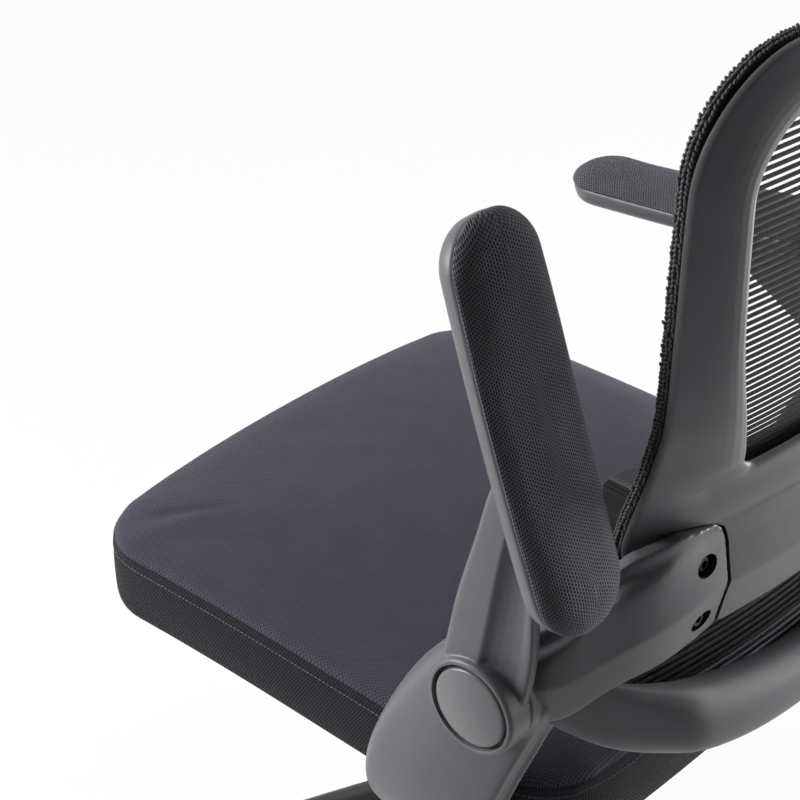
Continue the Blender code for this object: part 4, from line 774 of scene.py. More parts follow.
def rib_weave():
    """Ribs with small steps across them."""
    group, given, out = effect("rib_weave", [("Place", "Vector"), ("Pitch", "Float")],
                               [("Groove", "Float"), ("Height", "Float")])
    flat = add(group, "ShaderNodeSeparateXYZ", {"Vector": given.outputs["Place"]})
    ribs, steps = (saw(group, sums(group, "DIVIDE", flat.outputs[axis], given.outputs["Pitch"]))
                   for axis in "XY")
    nicks = sums(group, "MULTIPLY", spread(group, steps, 0.32, 0.5), 0.45)
    groove = sums(group, "ADD", spread(group, ribs, 0.24, 0.5), nicks)
    group.links.new(groove, out.inputs["Groove"])
    group.links.new(sums(group, "MULTIPLY", groove, -1.0), out.inputs["Height"])
    return group


pin_hole_group = pin_hole_weave()
rib_group = rib_weave()


def pin_hole_fabric(name, thread, dark, pitch, row, hole, depth, sheen):
    """Dark knitted fabric with pin holes, laid out by the piece's own weave map."""
    finish, tree, shader = new_finish(name, {"Roughness": 0.85, "Specular IOR Level": 0.25,
                                             "Sheen Weight": sheen, "Sheen Roughness": 0.45,
                                             "Sheen Tint": (0.80, 0.79, 0.90, 1.0)})
    place = add(tree, "ShaderNodeUVMap", uv_map="weave").outputs["UV"]
    weave = add(tree, "ShaderNodeGroup", {"Place": place, "Pitch": pitch, "Row": row, "Hole": hole},
                node_tree=pin_hole_group)
    patches = add(tree, "ShaderNodeTexNoise", {"Vector": place, "Scale": 26.0, "Detail": 4.0})
    yarn = blend(tree, spread(tree, patches.outputs["Fac"], 0.3, 0.7), tone(thread, 0.90), tone(thread, 1.08))
    tree.links.new(blend(tree, weave.outputs["Hole"], yarn, tone(dark)), shader.inputs["Base Color"])
    raised(tree, shader, weave.outputs["Height"], 0.8, depth)
    return finish


def rib_fabric(name, thread, dark, pitch, depth):
    """Dark ribbed fabric, laid out by the piece's own weave map."""
    finish, tree, shader = new_finish(name, {"Roughness": 0.85, "Specular IOR Level": 0.15,
                                             "Sheen Weight": 0.04, "Sheen Roughness": 0.45})
    place = add(tree, "ShaderNodeUVMap", uv_map="weave").outputs["UV"]
    ribs = add(tree, "ShaderNodeGroup", {"Place": place, "Pitch": pitch}, node_tree=rib_group)
    tree.links.new(blend(tree, ribs.outputs["Groove"], tone(thread), tone(dark)), shader.inputs["Base Color"])
    raised(tree, shader, ribs.outputs["Height"], 0.8, depth)
    return finish


seat_weave = pin_hole_fabric("seat_top_weave", (0.066, 0.0635, 0.086), (0.014, 0.0137, 0.0185), pitch=0.0024,
                             row=0.0019, hole=0.32, depth=0.00035, sheen=0.18)
band_weave = rib_fabric("seat_band_weave", (0.0265, 0.026, 0.0315), (0.0035, 0.0035, 0.0047), pitch=0.0027,
                        depth=0.0006)

pan_low, pan_high = (corner[2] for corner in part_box("seat_pan"))
pan_levels = [(0.024, pan_low), (0.016, pan_low + 0.001), (0.0128, pan_low + 0.0035),
              (0.012, pan_low + 0.007), (0.012, pan_high)]
pan_rings = [[Vector((p.x, p.y, height)) for p in seat_outline(inset)] for inset, height in pan_levels]
pan = shade(piece("seat_tray", *skin(pan_rings)), black_nylon, 50.0)
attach(pan, "seat")
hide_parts("seat_pan")

band_low = SEAM_Z - SEAT_BAND
skirt_low = band_low - 0.0040
seat_levels = [(0.2200, band_low), (0.0600, band_low), (0.0116, band_low), (0.0112, skirt_low + 0.0008),
               (0.0090, skirt_low), (0.0060, skirt_low + 0.0006), (0.0036, skirt_low + 0.0026),
               (0.0022, skirt_low + 0.0060)]
seat_levels += [(0.0010 - 0.0008 * math.sin(math.pi * t), skirt_low + 0.010 + (SEAT_BAND - 0.0085) * t)
                for t in (0.0, 0.12, 0.25, 0.4, 0.55, 0.7, 0.84, 0.94)]
seat_levels += [(0.0008, SEAM_Z - 0.0012), (0.0024, SEAM_Z)]
seam_ring = len(seat_levels) - 1
seat_levels += [(0.0014, SEAM_Z + 0.0012), (0.0016, SEAM_Z + 0.0028), (0.0028, SEAM_Z + 0.0050),
                (0.0054, SEAM_Z + 0.0074), (0.0095, SEAM_Z + 0.0094), (0.0160, SEAM_Z + 0.0113),
                (0.0260, SEAM_Z + 0.0130)]
CROWN = [(0.026, 0.0130), (0.080, 0.0178), (0.150, 0.0215), (0.236, 0.0228)]
seat_levels += [(inset, SEAM_Z + curve_at(CROWN, inset))
                for inset in (0.038, 0.052, 0.068, 0.086, 0.106, 0.128, 0.150, 0.174, 0.198, 0.218, 0.236)]


def droop(x, y):
    """How far the seat falls away at its front corners, and a little along the front and rear edges."""
    forward = unit(y / SEAT_FRONT) ** 2.2
    backward = unit((y - 0.12) / 0.13) ** 2
    return forward * (0.0024 + 0.0074 * min(1.0, abs(x) / 0.24) ** 2.5) + 0.0020 * backward


def seat_ring(inset, height):
    """The seat's outline at a height; the band's foot falls a little further than its top."""
    low = unit((SEAM_Z - height) / SEAT_BAND)
    ring = []
    for p in seat_outline(inset):
        rear = 0.0045 * unit((p.y - 0.08) / 0.15) ** 2
        fall = droop(p.x, p.y) + low * (0.0010 + rear)
        ring.append(Vector((p.x, p.y, height - (fall if inset < 0.2 or height > SEAM_Z else 0.0))))
    return ring


seat_rings = [seat_ring(inset, height) for inset, height in seat_levels]
around = len(seat_rings[0])
cushion = piece("seat_upholstery", *pillow(seat_rings, OPPOSITE))
held = list(range(around * 8)) + list(range(seam_ring * around, (seam_ring + 1) * around))
plumped(cushion, held, 3.0, 0.0020)
lengths = [0.0]
for j in range(around):
    step = seat_rings[5][(j + 1) % around] - seat_rings[5][j]
    lengths.append(lengths[-1] + step.length)
edge_points = np.array([[p.x, p.y] for p in seat_rings[5]])


def seam_at(x, y):
    return SEAM_Z - droop(x, y)


def seat_spot(face, corner):
    """Where a corner lies on its fabric: straight down on the top, and along the band, whose ribs lean."""
    if face.center.z > seam_at(face.center.x, face.center.y):
        return corner.x, corner.y
    j = int(np.argmin(((edge_points - (corner.x, corner.y)) ** 2).sum(axis=1)))
    middle = int(np.argmin(((edge_points - (face.center.x, face.center.y)) ** 2).sum(axis=1)))
    turn = lengths[-1] if j == 0 and middle > around / 2 else 0.0
    lean = REAR_LEAN + (SIDE_LEAN - REAR_LEAN) * unit((corner.x - 0.150) / 0.093)
    return lengths[j] + turn + lean * (corner.z - band_low - SEAT_BAND / 2), corner.z


cushion.data.materials.append(seat_weave)
cushion.data.materials.append(band_weave)
for face in cushion.data.polygons:
    face.material_index = 0 if face.center.z > seam_at(face.center.x, face.center.y) else 1
    face.use_smooth = True
lay_weave(cushion, seat_spot)
softened(cushion)
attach(cushion, "seat")
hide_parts("seat_cushion")


def stitch_tree():
    """Stitches spaced along a line, each a short round thread."""
    tree, given, out = tree_of("stitches", [("Length", "Float"), ("Pitch", "Float"), ("Thread", "Float")])
    line = add(tree, "GeometryNodeMeshToCurve", {"Mesh": given.outputs["Geometry"]})
    spots = add(tree, "GeometryNodeCurveToPoints", {"Curve": line.outputs[0], "Length": given.outputs["Pitch"]},
                mode="LENGTH")
    run = add(tree, "GeometryNodeCurvePrimitiveLine")
    half = sums(tree, "MULTIPLY", given.outputs["Length"], 0.5)
    for end, reach in (("Start", sums(tree, "MULTIPLY", half, -1.0)), ("End", half)):
        tree.links.new(add(tree, "ShaderNodeCombineXYZ", {"Z": reach}).outputs[0], run.inputs[end])
    section = add(tree, "GeometryNodeCurvePrimitiveCircle", {"Resolution": 6,
                                                             "Radius": given.outputs["Thread"]})
    thread = add(tree, "GeometryNodeCurveToMesh", {"Curve": run.outputs[0], "Profile Curve": section.outputs[0],
                                                   "Fill Caps": True})
    laid = add(tree, "GeometryNodeInstanceOnPoints", {"Points": spots.outputs["Points"],
                                                      "Instance": thread.outputs[0],
                                                      "Rotation": spots.outputs["Rotation"]})
    finished(tree, given, out, laid.outputs[0])
    return tree


def thread_finish(name, colour):
    """Twisted yarn, lighter and darker along its length."""
    finish, tree, shader = new_finish(name, {"Roughness": 0.6})
    place = add(tree, "ShaderNodeTexCoord").outputs["Object"]
    twist = add(tree, "ShaderNodeTexNoise", {"Vector": place, "Scale": 900.0, "Detail": 2.0}).outputs["Fac"]
    tree.links.new(blend(tree, twist, tone(colour, 0.6), tone(colour, 1.4)), shader.inputs["Base Color"])
    return finish


def line_mesh(name, points, edges):
    mesh = bpy.data.meshes.new(name)
    mesh.from_pydata([tuple(point) for point in points], edges, [])
    return mesh


charcoal_thread = thread_finish("charcoal_thread", (0.085, 0.085, 0.100))
TOPSTITCH = 0.0080
shell_points = np.array([v.co for v in cushion.data.vertices])
shell_points = shell_points[np.abs(shell_points[:, 2] - SEAM_Z + TOPSTITCH) < 0.007]
stitch_line = []
for p in seat_outline(0.0):
    outward = Vector((p.x, p.y)).normalized()
    spot = Vector((p.x, p.y, seam_at(p.x, p.y) - TOPSTITCH))
    near = shell_points[np.argsort(((shell_points - spot) ** 2).sum(axis=1))[:3], :2].mean(axis=0)
    stitch_line.append(Vector((near[0] + outward.x * 0.0002, near[1] + outward.y * 0.0002, spot.z)))
stitch_edges = [(i, (i + 1) % len(stitch_line)) for i in range(len(stitch_line))]
seat_stitches = built("seat_topstitch", stitch_tree(), charcoal_thread,
                      {"Length": 0.0030, "Pitch": 0.0042, "Thread": 0.00042},
                      line_mesh("seat_topstitch_line", stitch_line, stitch_edges))
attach(seat_stitches, "seat")


# Arm brackets: Y-shaped mouldings in grey satin plastic, one on each side. The leg runs down past the seat's
# edge and in under it as a flange, the branch runs back to the crossbar, and the round hub between them
# carries the arm's pin.

satin_grey = plastic("satin_grey", (0.118, 0.116, 0.126), 0.40, 1900.0, 0.00005, 0.8)
HUB_Y, HUB_Z = joints["left_arm_flip"]["pos_m"][1:]
HUB_SPLIT, HUB_RADIUS = 0.2680, 0.0365
LEG_STOPS = [(0.2530, 0.2140, 0.548, 0.060, 0.026, 0.0), (0.2530, 0.2100, 0.5259, 0.096, 0.026, 0.0),
             (0.2535, 0.1905, 0.490, 0.109, 0.027, 2.0), (0.2600, 0.1745, 0.452, 0.114, 0.026, 6.0),
             (0.2640, 0.1625, 0.415, 0.115, 0.025, -2.0), (0.2610, 0.1550, 0.381, 0.112, 0.024, -22.0),
             (0.2480, 0.1535, 0.356, 0.108, 0.020, -52.0), (0.227, 0.1535, 0.3464, 0.104, 0.012, -90.0),
             (0.168, 0.1535, 0.3464, 0.099, 0.012, -90.0), (0.108, 0.1535, 0.3464, 0.094, 0.012, -90.0)]


def eased(loop, per):
    """A closed loop of points with a smooth run between each pair."""
    count = len(loop)
    points = []
    for i in range(count):
        stops = [Vector(loop[(i + k) % count]) for k in (-1, 0, 1, 2)]
        points += [between(*stops, k / per) for k in range(per)]
    return points


def leg_of_bracket():
    count = len(LEG_STOPS) - 1
    columns = [[(i, stop[c]) for i, stop in enumerate(LEG_STOPS)] for c in range(6)]
    rings = []
    for i in range(count * 7 + 1):
        x, y, z, width, thick, lean = (curve_at(column, i / 7) for column in columns)
        turn = math.radians(lean)
        outward = Vector((math.cos(turn), 0, math.sin(turn)))
        half, deep = width / 2, thick / 2
        section = [(-half, -0.35 * deep), (-half + 0.35 * deep, -deep), (half - 0.3 * deep, -deep),
                   (half, -0.4 * deep), (half, 0.05 * deep), (half - 0.5 * deep, 0.5 * deep),
                   (0.02 * width, deep), (-half + 1.3 * deep, 0.82 * deep),
                   (-half + 0.25 * deep, 0.35 * deep)]
        rings.append([Vector((x, y + along, z)) + outward * out for along, out in eased(section, 4)])
    return skin(rings)


def branch_stop(share):
    start, bend, end = Vector((0.2515, HUB_Y)), Vector((0.252, 0.321)), Vector((0.152, 0.315))
    plan = start * (1 - share) ** 2 + bend * 2 * share * (1 - share) + end * share ** 2
    along = (bend - start) * (1 - share) + (end - bend) * share
    outward = Vector((along.y, -along.x, 0)).normalized()
    rise = curve_at([(0.0, HUB_Z), (0.25, 0.560), (0.45, 0.598), (0.6, 0.608), (1.0, 0.6135)], share)
    depth = curve_at([(0.0, 0.066), (0.25, 0.088), (0.45, 0.102), (0.6, 0.099), (1.0, 0.093)], share)
    thick = curve_at([(0.0, 0.026), (0.5, 0.023), (1.0, 0.012)], share)
    return Vector((plan.x, plan.y, rise)), outward, depth, thick


# The back's curves stand here, since the branch's end lies flush with the crossbar.
DISH = [(0.800, 0.030), (1.003, 0.021)]
EDGE_Y = [(0.40, 0.284), (0.47, 0.274), (0.55, 0.266), (0.634, 0.267), (0.72, 0.290), (0.82, 0.305),
          (0.91, 0.312), (1.01, 0.318)]
HALF_WIDTH = [(0.466, 0.222), (0.53, 0.220), (0.600, 0.212), (0.70, 0.220), (0.82, 0.236), (0.92, 0.243),
              (1.003, 0.243)]
PANEL = [(0.70, 0.072), (0.80, 0.049), (0.90, 0.042), (0.96, 0.042)]
CURL = [(0.50, 0.0), (0.57, 0.004), (0.61, 0.0095), (0.645, 0.0105), (0.67, 0.0092), (0.70, 0.0070),
        (0.725, 0.0045), (0.75, 0.0012), (0.78, 0.0)]
BACK_TOP, BACK_LOW, BACK_HALF = 1.003, 0.466, 0.243
FRAME_FACE = 0.0114


def on_back(x, z, depth):
    """A point behind the mesh's front surface, whose sides curl forward just above the seat."""
    curl = curve_at(CURL, z) * min(1.2, abs(x) / 0.217) ** 4
    return Vector((x, curve_at(EDGE_Y, z) + curve_at(DISH, z) * (1 - (x / BACK_HALF) ** 2) - curl + depth, z))


beam_section = [(1.0, 0.0020), (0.975, 0.0054), (0.94, 0.0086), (0.90, 0.0113), (0.85, 0.0136),
                (0.79, 0.0153), (0.73, 0.0158), (0.690, 0.0150), (0.668, 0.0156), (0.63, 0.0190),
                (0.585, 0.0218), (0.46, 0.0256), (0.350, 0.0286), (0.330, 0.0290), (0.308, 0.0284),
                (0.060, 0.0212), (0.015, 0.0200), (0.0, 0.0182)]
BAR_LOW, BAR_HIGH = 0.567, 0.686


def depth_at(section, share):
    return float(np.interp(share, [s for s, d in reversed(section)], [d for s, d in reversed(section)]))


def bar_depth(z):
    """How thick the crossbar is at a height."""
    return depth_at(beam_section, (z - BAR_LOW) / (BAR_HIGH - BAR_LOW))


def smooth_step(value):
    share = unit(value)
    return share * share * (3 - 2 * share)


BRANCH_END = branch_stop(1.0)[0]
BRANCH_RINGS = 28


def branch_of_bracket(grow=0.0, behind=0.0):
    """The branch from the hub to the crossbar, or the room for it where it is grown and runs on behind."""
    rings = []
    for i in range(12 if behind else 0, BRANCH_RINGS + 1):
        share = i / BRANCH_RINGS
        middle, outward, depth, thick = branch_stop(share)
        if i == BRANCH_RINGS:
            middle = middle + Vector((-0.0016 - grow if behind else -0.0016, 0, 0))
        deep = thick / 2 + grow
        half = depth / 2 + grow
        lean = max(0.0, (share - 0.42) / 0.58) ** 1.5
        ridge = 0.0365 + 0.0028 * lean - half
        strip = 0.0155 - 0.0130 * lean
        shoulder = half - strip
        section = [(-half, -deep), (-half, 0.05 * deep), (-half + 0.0012, 0.28 * deep),
                   (ridge - 0.0185, 0.64 * deep), (ridge - 0.002, 0.97 * deep), (ridge, deep),
                   (ridge + 0.0025, 0.97 * deep),
                   (0.22 * (ridge + 0.0025) + 0.78 * (shoulder - 0.013), 0.94 * deep),
                   (shoulder - 0.013, 0.92 * deep), (shoulder - 0.0065, 0.84 * deep),
                   (shoulder - 0.0022, 0.54 * deep), (shoulder, 0.20 * deep),
                   (half - 0.75 * strip, 0.09 * deep), (half - 0.3 * strip, 0.05 * deep),
                   (half - 0.0008, 0.0), (half, -0.15 * deep), (half, -deep)]
        if behind:
            section[2:-2] = [(-half, behind), (half, behind)]
        trim = 0.010 * max(0.0, (share - 0.72) / 0.28) ** 2 + 0.008 * max(0.0, 1.0 - abs(share - 0.42) / 0.32)
        trim += 0.005 if i == BRANCH_RINGS else 0.0
        flush = smooth_step((share - 0.50) / 0.45)
        ring = []
        for up, out in section:
            up -= trim * max(0.0, up / half) ** 2
            if out > -deep and not behind:
                height = BRANCH_END.z + up
                face = on_back(BRANCH_END.x, height, 0.0111 + bar_depth(height)).y - BRANCH_END.y
                sunk = 0.0007 * smooth_step((share - 0.80) / 0.15) * smooth_step((up - 0.024) / 0.008)
                out += flush * (face - out) - sunk
            ring.append(middle + outward * out + Vector((0, 0, up)))
        rings.append(ring)
    return skin(rings)


SCREW_X, SCREW_SEAT = 0.1725, 0.311
RECESS, RECESS_WIDE = 0.0078, 1.3
screw_heights = (0.6285, 0.5840)
hub_profile = [(0.0, 0.2385), (0.0345, 0.2385), (HUB_RADIUS, 0.2405), (HUB_RADIUS, HUB_SPLIT),
               (0.0, HUB_SPLIT)]
bracket = fused("left_bracket_moulding", [leg_of_bracket(), branch_of_bracket(),
                                          spun(hub_profile, 72, (0, HUB_Y, HUB_Z), "X")], 0.0015, 4)
drill_profile = [(0.0, 0.27), (0.0027, 0.27), (0.0027, SCREW_SEAT), (RECESS, SCREW_SEAT), (RECESS, 0.36),
                 (0.0, 0.36)]
bracket_tools = []
for height in screw_heights:
    drill, drill_faces = spun(drill_profile, 48, (0, 0, height), "Y")
    bracket_tools.append(([Vector((SCREW_X + RECESS_WIDE * p[0], p[1], p[2])) for p in drill], drill_faces))
bracket_tools.append(rod(0.0085, 0.2420, 0.28, 32, (0, HUB_Y, HUB_Z), "X"))
hollowed(bracket, bracket_tools)
shade(bracket, satin_grey, 50.0)
# The faces of the screw recesses take the black nylon finish: painted shade, for the dark that falls deep in
# them.
bracket.data.materials.append(black_nylon)
for face in bracket.data.polygons:
    x, y, z = face.center
    if y > 0.30 and any(math.hypot((x - SCREW_X) / RECESS_WIDE, z - height) < RECESS + 0.0001
                        for height in screw_heights):
        face.material_index = 1


def other_side(item, name):
    """A mirrored copy across the chair's middle."""
    copy = linked(name, item.data.copy())
    copy.data.transform(Matrix.Scale(-1, 4, (1, 0, 0)))
    copy.data.flip_normals()
    return copy


right_bracket = other_side(bracket, "right_bracket_moulding")
for item, label in ((bracket, "left"), (right_bracket, "right")):
    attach(item, "seat")
    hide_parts(f"{label}_arm_bracket")


# Back screws: black socket screws deep in oval recesses through the bracket's end, two on each side.
# They pull the bracket onto the crossbar.

screw_black = steel("blackened_steel", (0.030, 0.030, 0.031), 0.36)
screw_profile = [(0.0, -0.0115), (0.0018, -0.0115), (0.0024, -0.0108), (0.0024, 0.0), (0.0056, 0.0),
                 (0.0056, 0.0022), (0.0048, 0.0030), (0.0030, 0.0030), (0.0030, 0.0010), (0.0, 0.0010)]
screw_profile = [(radius, SCREW_SEAT + 0.0003 + along) for radius, along in screw_profile]
for side, label in ((1, "left"), (-1, "right")):
    for height, row in zip(screw_heights, ("upper", "lower")):
        screw = spun_piece(f"{label}_{row}_socket_screw", screw_profile, 36, (side * SCREW_X, 0, height), "Y")
        shade(screw, screw_black)
        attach(screw, "seat")
        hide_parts(f"{label}_back_screw_{row}")


# Arms: a blade with a raised front facet and a hollow rear one, on a round hub with a domed cap. The blade
# carries a plastic tray, and the tray a slim foam pad in pin-hole fabric, a little hollow along its length.

HUB_FACE = 0.2894
LINK_INNER = HUB_SPLIT + 0.0003
LINK_OUTER = LINK_INNER + 0.016
PAD_X, PAD_MIDDLE, PAD_REACH = 0.277, -0.2048, 0.1358
TRAY_TOP, TRAY_DEEP = 0.1132, 0.0215
PAD_LOW, PAD_DEEP = TRAY_TOP + 0.0003, 0.0135
ARM_REST, ARM_SWING = -6.2, 75.85
front_edge = [(-0.018, -0.030), (-0.048, -0.012), (-0.088, 0.013), (-0.128, 0.042), (-0.162, 0.066),
              (-0.190, 0.0914)]
rear_edge = [(0.030, 0.008), (0.000, 0.036), (-0.036, 0.056), (-0.074, 0.070), (-0.096, 0.080),
             (-0.108, 0.0914)]
blade_section = [(0.0, 0.0050), (0.015, 0.0022), (0.04, 0.0008), (0.09, 0.0001), (0.25, 0.0), (0.44, 0.0003),
                 (0.465, 0.0009), (0.49, 0.0026), (0.53, 0.0046), (0.62, 0.0070), (0.74, 0.0086),
                 (0.84, 0.0090), (0.885, 0.0086), (0.905, 0.0080), (0.965, 0.0080), (0.985, 0.0086),
                 (1.0, 0.0102)]


def blade():
    rings = []
    columns = [[(i, stop[c]) for i, stop in enumerate(edge)]
               for edge in (front_edge, rear_edge) for c in (0, 1)]
    for i in range(46):
        fy, fz, ry, rz = (curve_at(column, i / 9) for column in columns)
        low = Vector((0, fy, fz))
        across = Vector((0, ry, rz)) - low
        face = [(share, LINK_OUTER - sunk) for share, sunk in blade_section]
        section = [(0.0, LINK_INNER)] + face + [(1.0, LINK_INNER)]
        rings.append([low + across * share + Vector((x, 0, 0)) for share, x in section])
    return skin(rings)


link_hub = spun([(0.0, LINK_INNER), (HUB_RADIUS, LINK_INNER), (HUB_RADIUS, HUB_FACE - 0.0022),
                 (0.0359, HUB_FACE - 0.0008), (0.0345, HUB_FACE), (0.0, HUB_FACE)], 72, (0, 0, 0), "X")
link = fused("arm_blade", [blade(), link_hub], 0.0011, 4)
hollowed(link, [spun([(0.0, LINK_INNER - 0.01), (0.0084, LINK_INNER - 0.01), (0.0084, HUB_FACE - 0.0072),
                      (0.0322, HUB_FACE - 0.0072), (0.0322, HUB_FACE - 0.0006), (0.0330, HUB_FACE + 0.0004),
                      (0.0330, HUB_FACE + 0.01), (0.0, HUB_FACE + 0.01)], 96, (0, 0, 0), "X")])
shade(link, satin_grey, 50.0)

cap_finish = plastic("cap_gloss", (0.150, 0.147, 0.155), 0.26, 2400.0, 0.00002)
cap_seat, cap_rim = HUB_FACE - 0.0067, HUB_FACE - 0.0006
cap_profile = [(0.0, cap_seat), (0.0296, cap_seat), (0.0296, cap_rim - 0.0012), (0.0293, cap_rim - 0.0003),
               (0.0285, cap_rim + 0.0003)]
cap_profile += [(0.0299 * s, cap_rim + 0.0036 * (1 - s ** 2)) for s in (k / 10 for k in range(9, -1, -1))]
cap = shade(spun_piece("hub_cap", cap_profile, 96, (0, 0, 0), "X"), cap_finish, 40.0)


def pad_outline(inset):
    rear, front = -0.0690 - inset, -0.3406 + inset
    rear_half, front_half = 0.0362 - inset, 0.0352 - inset
    rear_radius = min(max(0.034 - inset, 0.002), rear_half * 0.95)
    front_radius = min(max(0.032 - inset, 0.002), front_half * 0.95)
    outline = rounded([(-front_half, front, front_radius), (-rear_half, rear, rear_radius),
                       (rear_half, rear, rear_radius), (front_half, front, front_radius)], 14, 30)
    return [Vector((p.x * (1.0 + 0.12 * max(0.0, 1 - ((p.y + 0.200) / 0.135) ** 2)), p.y)) for p in outline]


TRAY = [(0.0, 0.020), (0.14, 0.012), (0.37, 0.005), (0.65, 0.0022), (0.9, 0.0012), (1.0, 0.0012)]
tray_rings = []
for t in (0.0, 0.02, 0.07, 0.14, 0.22, 0.30, 0.37, 0.46, 0.55, 0.65, 0.75, 0.86, 0.95, 1.0):
    inset = curve_at(TRAY, t) + (0.006 if t == 0.0 else 0.0) + (0.0006 if t == 1.0 else 0.0)
    tray_rings.append([Vector((PAD_X + p.x, p.y, TRAY_TOP - TRAY_DEEP * (1 - t))) for p in pad_outline(inset)])
tray = shade(piece("arm_tray", *skin(tray_rings)), satin_grey, 50.0)

PAD_EDGE = [(0.0024, 0.0), (0.0006, 0.06), (0.0, 0.16), (0.0003, 0.28), (0.0010, 0.40), (0.0024, 0.54),
            (0.0048, 0.68), (0.0085, 0.80), (0.0135, 0.89), (0.0185, 0.945), (0.0240, 0.98), (0.0290, 1.0),
            (0.0330, 1.005)]
pad_rings = [[Vector((PAD_X + p.x, p.y, PAD_LOW)) for p in pad_outline(0.0310)]]
for inset, share in PAD_EDGE:
    ring = []
    for p in pad_outline(inset):
        along = (p.y - PAD_MIDDLE) / PAD_REACH
        hollow = 0.0050 * (math.cos(math.pi * along) + 0.6) / 1.6 * min(1.0, inset / 0.012)
        twist = 0.0016 * math.sin(math.pi * along) * p.x / 0.039 * min(1.0, inset / 0.006)
        ring.append(Vector((PAD_X + p.x, p.y, PAD_LOW + share * PAD_DEEP - hollow + twist)))
    pad_rings.append(ring)
ring_size = len(pad_rings[0])
pad = piece("arm_cushion", *pillow(pad_rings, OPPOSITE))
plumped(pad, list(range(ring_size * 4)), 2.0, 0.0012)
pad_weave = pin_hole_fabric("arm_pad_weave", (0.138, 0.133, 0.152), (0.011, 0.011, 0.012), pitch=0.0026,
                            row=0.0021, hole=0.34, depth=0.00055, sheen=0.14)
pad.data.materials.append(pad_weave)
for face in pad.data.polygons:
    face.use_smooth = True


def pad_spot(face, corner):
    """Where a corner lies on the pad's fabric, which runs on down the pad's edge."""
    down = TRAY_TOP + PAD_DEEP - corner.z
    return corner.y + 0.5 * down, corner.x + math.copysign(down, corner.x - PAD_X)


lay_weave(pad, pad_spot)
softened(pad)

for side, label in ((1, "left"), (-1, "right")):
    angle = ARM_REST + (ARM_SWING if side > 0 else 0.0)
    place = Matrix.Translation((0, HUB_Y, HUB_Z)) @ Matrix.Rotation(-math.radians(angle), 4, "X")
    for pattern, node, slot in ((link, "arm_link", "satin_plastic"), (cap, "pivot_cap", "cap_plastic"),
                                (tray, "pad_base", "satin_plastic"), (pad, "arm_pad", "pad_fabric")):
        name = f"{label}_{pattern.name}"
        item = linked(name, pattern.data.copy()) if side > 0 else other_side(pattern, name)
        item.data.transform(place)
        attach(item, f"{label}_arm")
        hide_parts(f"{label}_{node}")
    shade(nodes[f"{label}_pivot_pin"], bright_steel)
for pattern in (link, cap, tray, pad):
    bpy.data.objects.remove(pattern)


# Back frame: one figure-of-eight moulding behind the mesh. Wide hollow side panels run round the upper
# opening, the crossbar takes the brackets in notches, and a thick rolled loop closes the lower opening.

LOW_CORNER, TOP_CORNER, BAR_CORNER = 0.070, 0.078, 0.09
OPENING_TOP = 0.962


def back_outline(inset, steps, runs):
    wide = BACK_HALF - inset
    corners = [(-wide, BACK_LOW + inset, LOW_CORNER - inset), (-wide, BACK_TOP - inset, TOP_CORNER - inset),
               (wide, BACK_TOP - inset, TOP_CORNER - inset), (wide, BACK_LOW + inset, LOW_CORNER - inset)]
    return [Vector((p.x * (curve_at(HALF_WIDTH, p.y) - inset) / wide, p.y))
            for p in rounded(corners, steps, runs)]


def opening_half(z):
    return curve_at(HALF_WIDTH, z) - curve_at(PANEL, z)


SHELL_TOP = BACK_TOP - 0.0075


def inside_frame(point):
    limit = curve_at(HALF_WIDTH, point.y)
    into = point.y - (SHELL_TOP - TOP_CORNER)
    if into > 0:
        limit -= TOP_CORNER - math.sqrt(max(0.0, TOP_CORNER ** 2 - into ** 2))
    corner = Vector((abs(point.x) - limit + BAR_CORNER, BAR_LOW + BAR_CORNER - point.y))
    if corner.x > 0 and corner.y > 0 and corner.length > BAR_CORNER:
        return False
    return abs(point.x) < limit - 0.0005 and BAR_LOW < point.y < SHELL_TOP


panel_section = [(1.0, 0.003), (0.98, 0.0075), (0.94, 0.0112), (0.88, 0.0140), (0.80, 0.0158), (0.70, 0.0164),
                 (0.60, 0.0157), (0.50, 0.0143), (0.40, 0.0125), (0.32, 0.0109), (0.24, 0.0091),
                 (0.17, 0.0075), (0.11, 0.0061), (0.07, 0.0051), (0.035, 0.0042), (0.012, 0.0032),
                 (0.0, 0.0012)]


def frame_ring():
    """The upper ring: its section carried round the opening, from there out to the frame's edge."""
    wide = opening_half(OPENING_TOP)
    corners = [(-wide, BAR_HIGH, 0.030), (-wide, OPENING_TOP, 0.055), (wide, OPENING_TOP, 0.055),
               (wide, BAR_HIGH, 0.030)]
    inner = [Vector((p.x * opening_half(p.y) / wide, p.y)) for p in rounded(corners, 24, 56)]
    middle = Vector((0.0, 0.82925))
    rings = []
    for point in inner:
        outward = (point - middle).normalized()
        reach, far = 0.0, 0.5
        for step in range(22):
            trial = (reach + far) / 2
            if inside_frame(middle + outward * trial):
                reach = trial
            else:
                far = trial
        outer = middle + outward * reach
        ring = [on_back(p.x, p.y, FRAME_FACE) for p in (outer, outer.lerp(point, 0.5), point)]
        for k in range(61):
            share = 1.0 - (k / 60) ** 1.1
            p = outer.lerp(point, share)
            in_bar = smooth_step((0.715 - p.y) / 0.05) * smooth_step((0.215 - abs(p.x)) / 0.05)
            depth = depth_at(panel_section, share)
            ring.append(on_back(p.x, p.y, FRAME_FACE + depth + in_bar * (bar_depth(p.y) - depth)))
        rings.append(ring)
    return skin(rings, closed=True)


branch_plan = [branch_stop(1 - k / 20)[0] for k in range(21)]


def under_branch(x):
    """How far back the branch's low edge stands at a place across the chair."""
    return float(np.interp(x, [p.x for p in branch_plan], [p.y for p in branch_plan]))


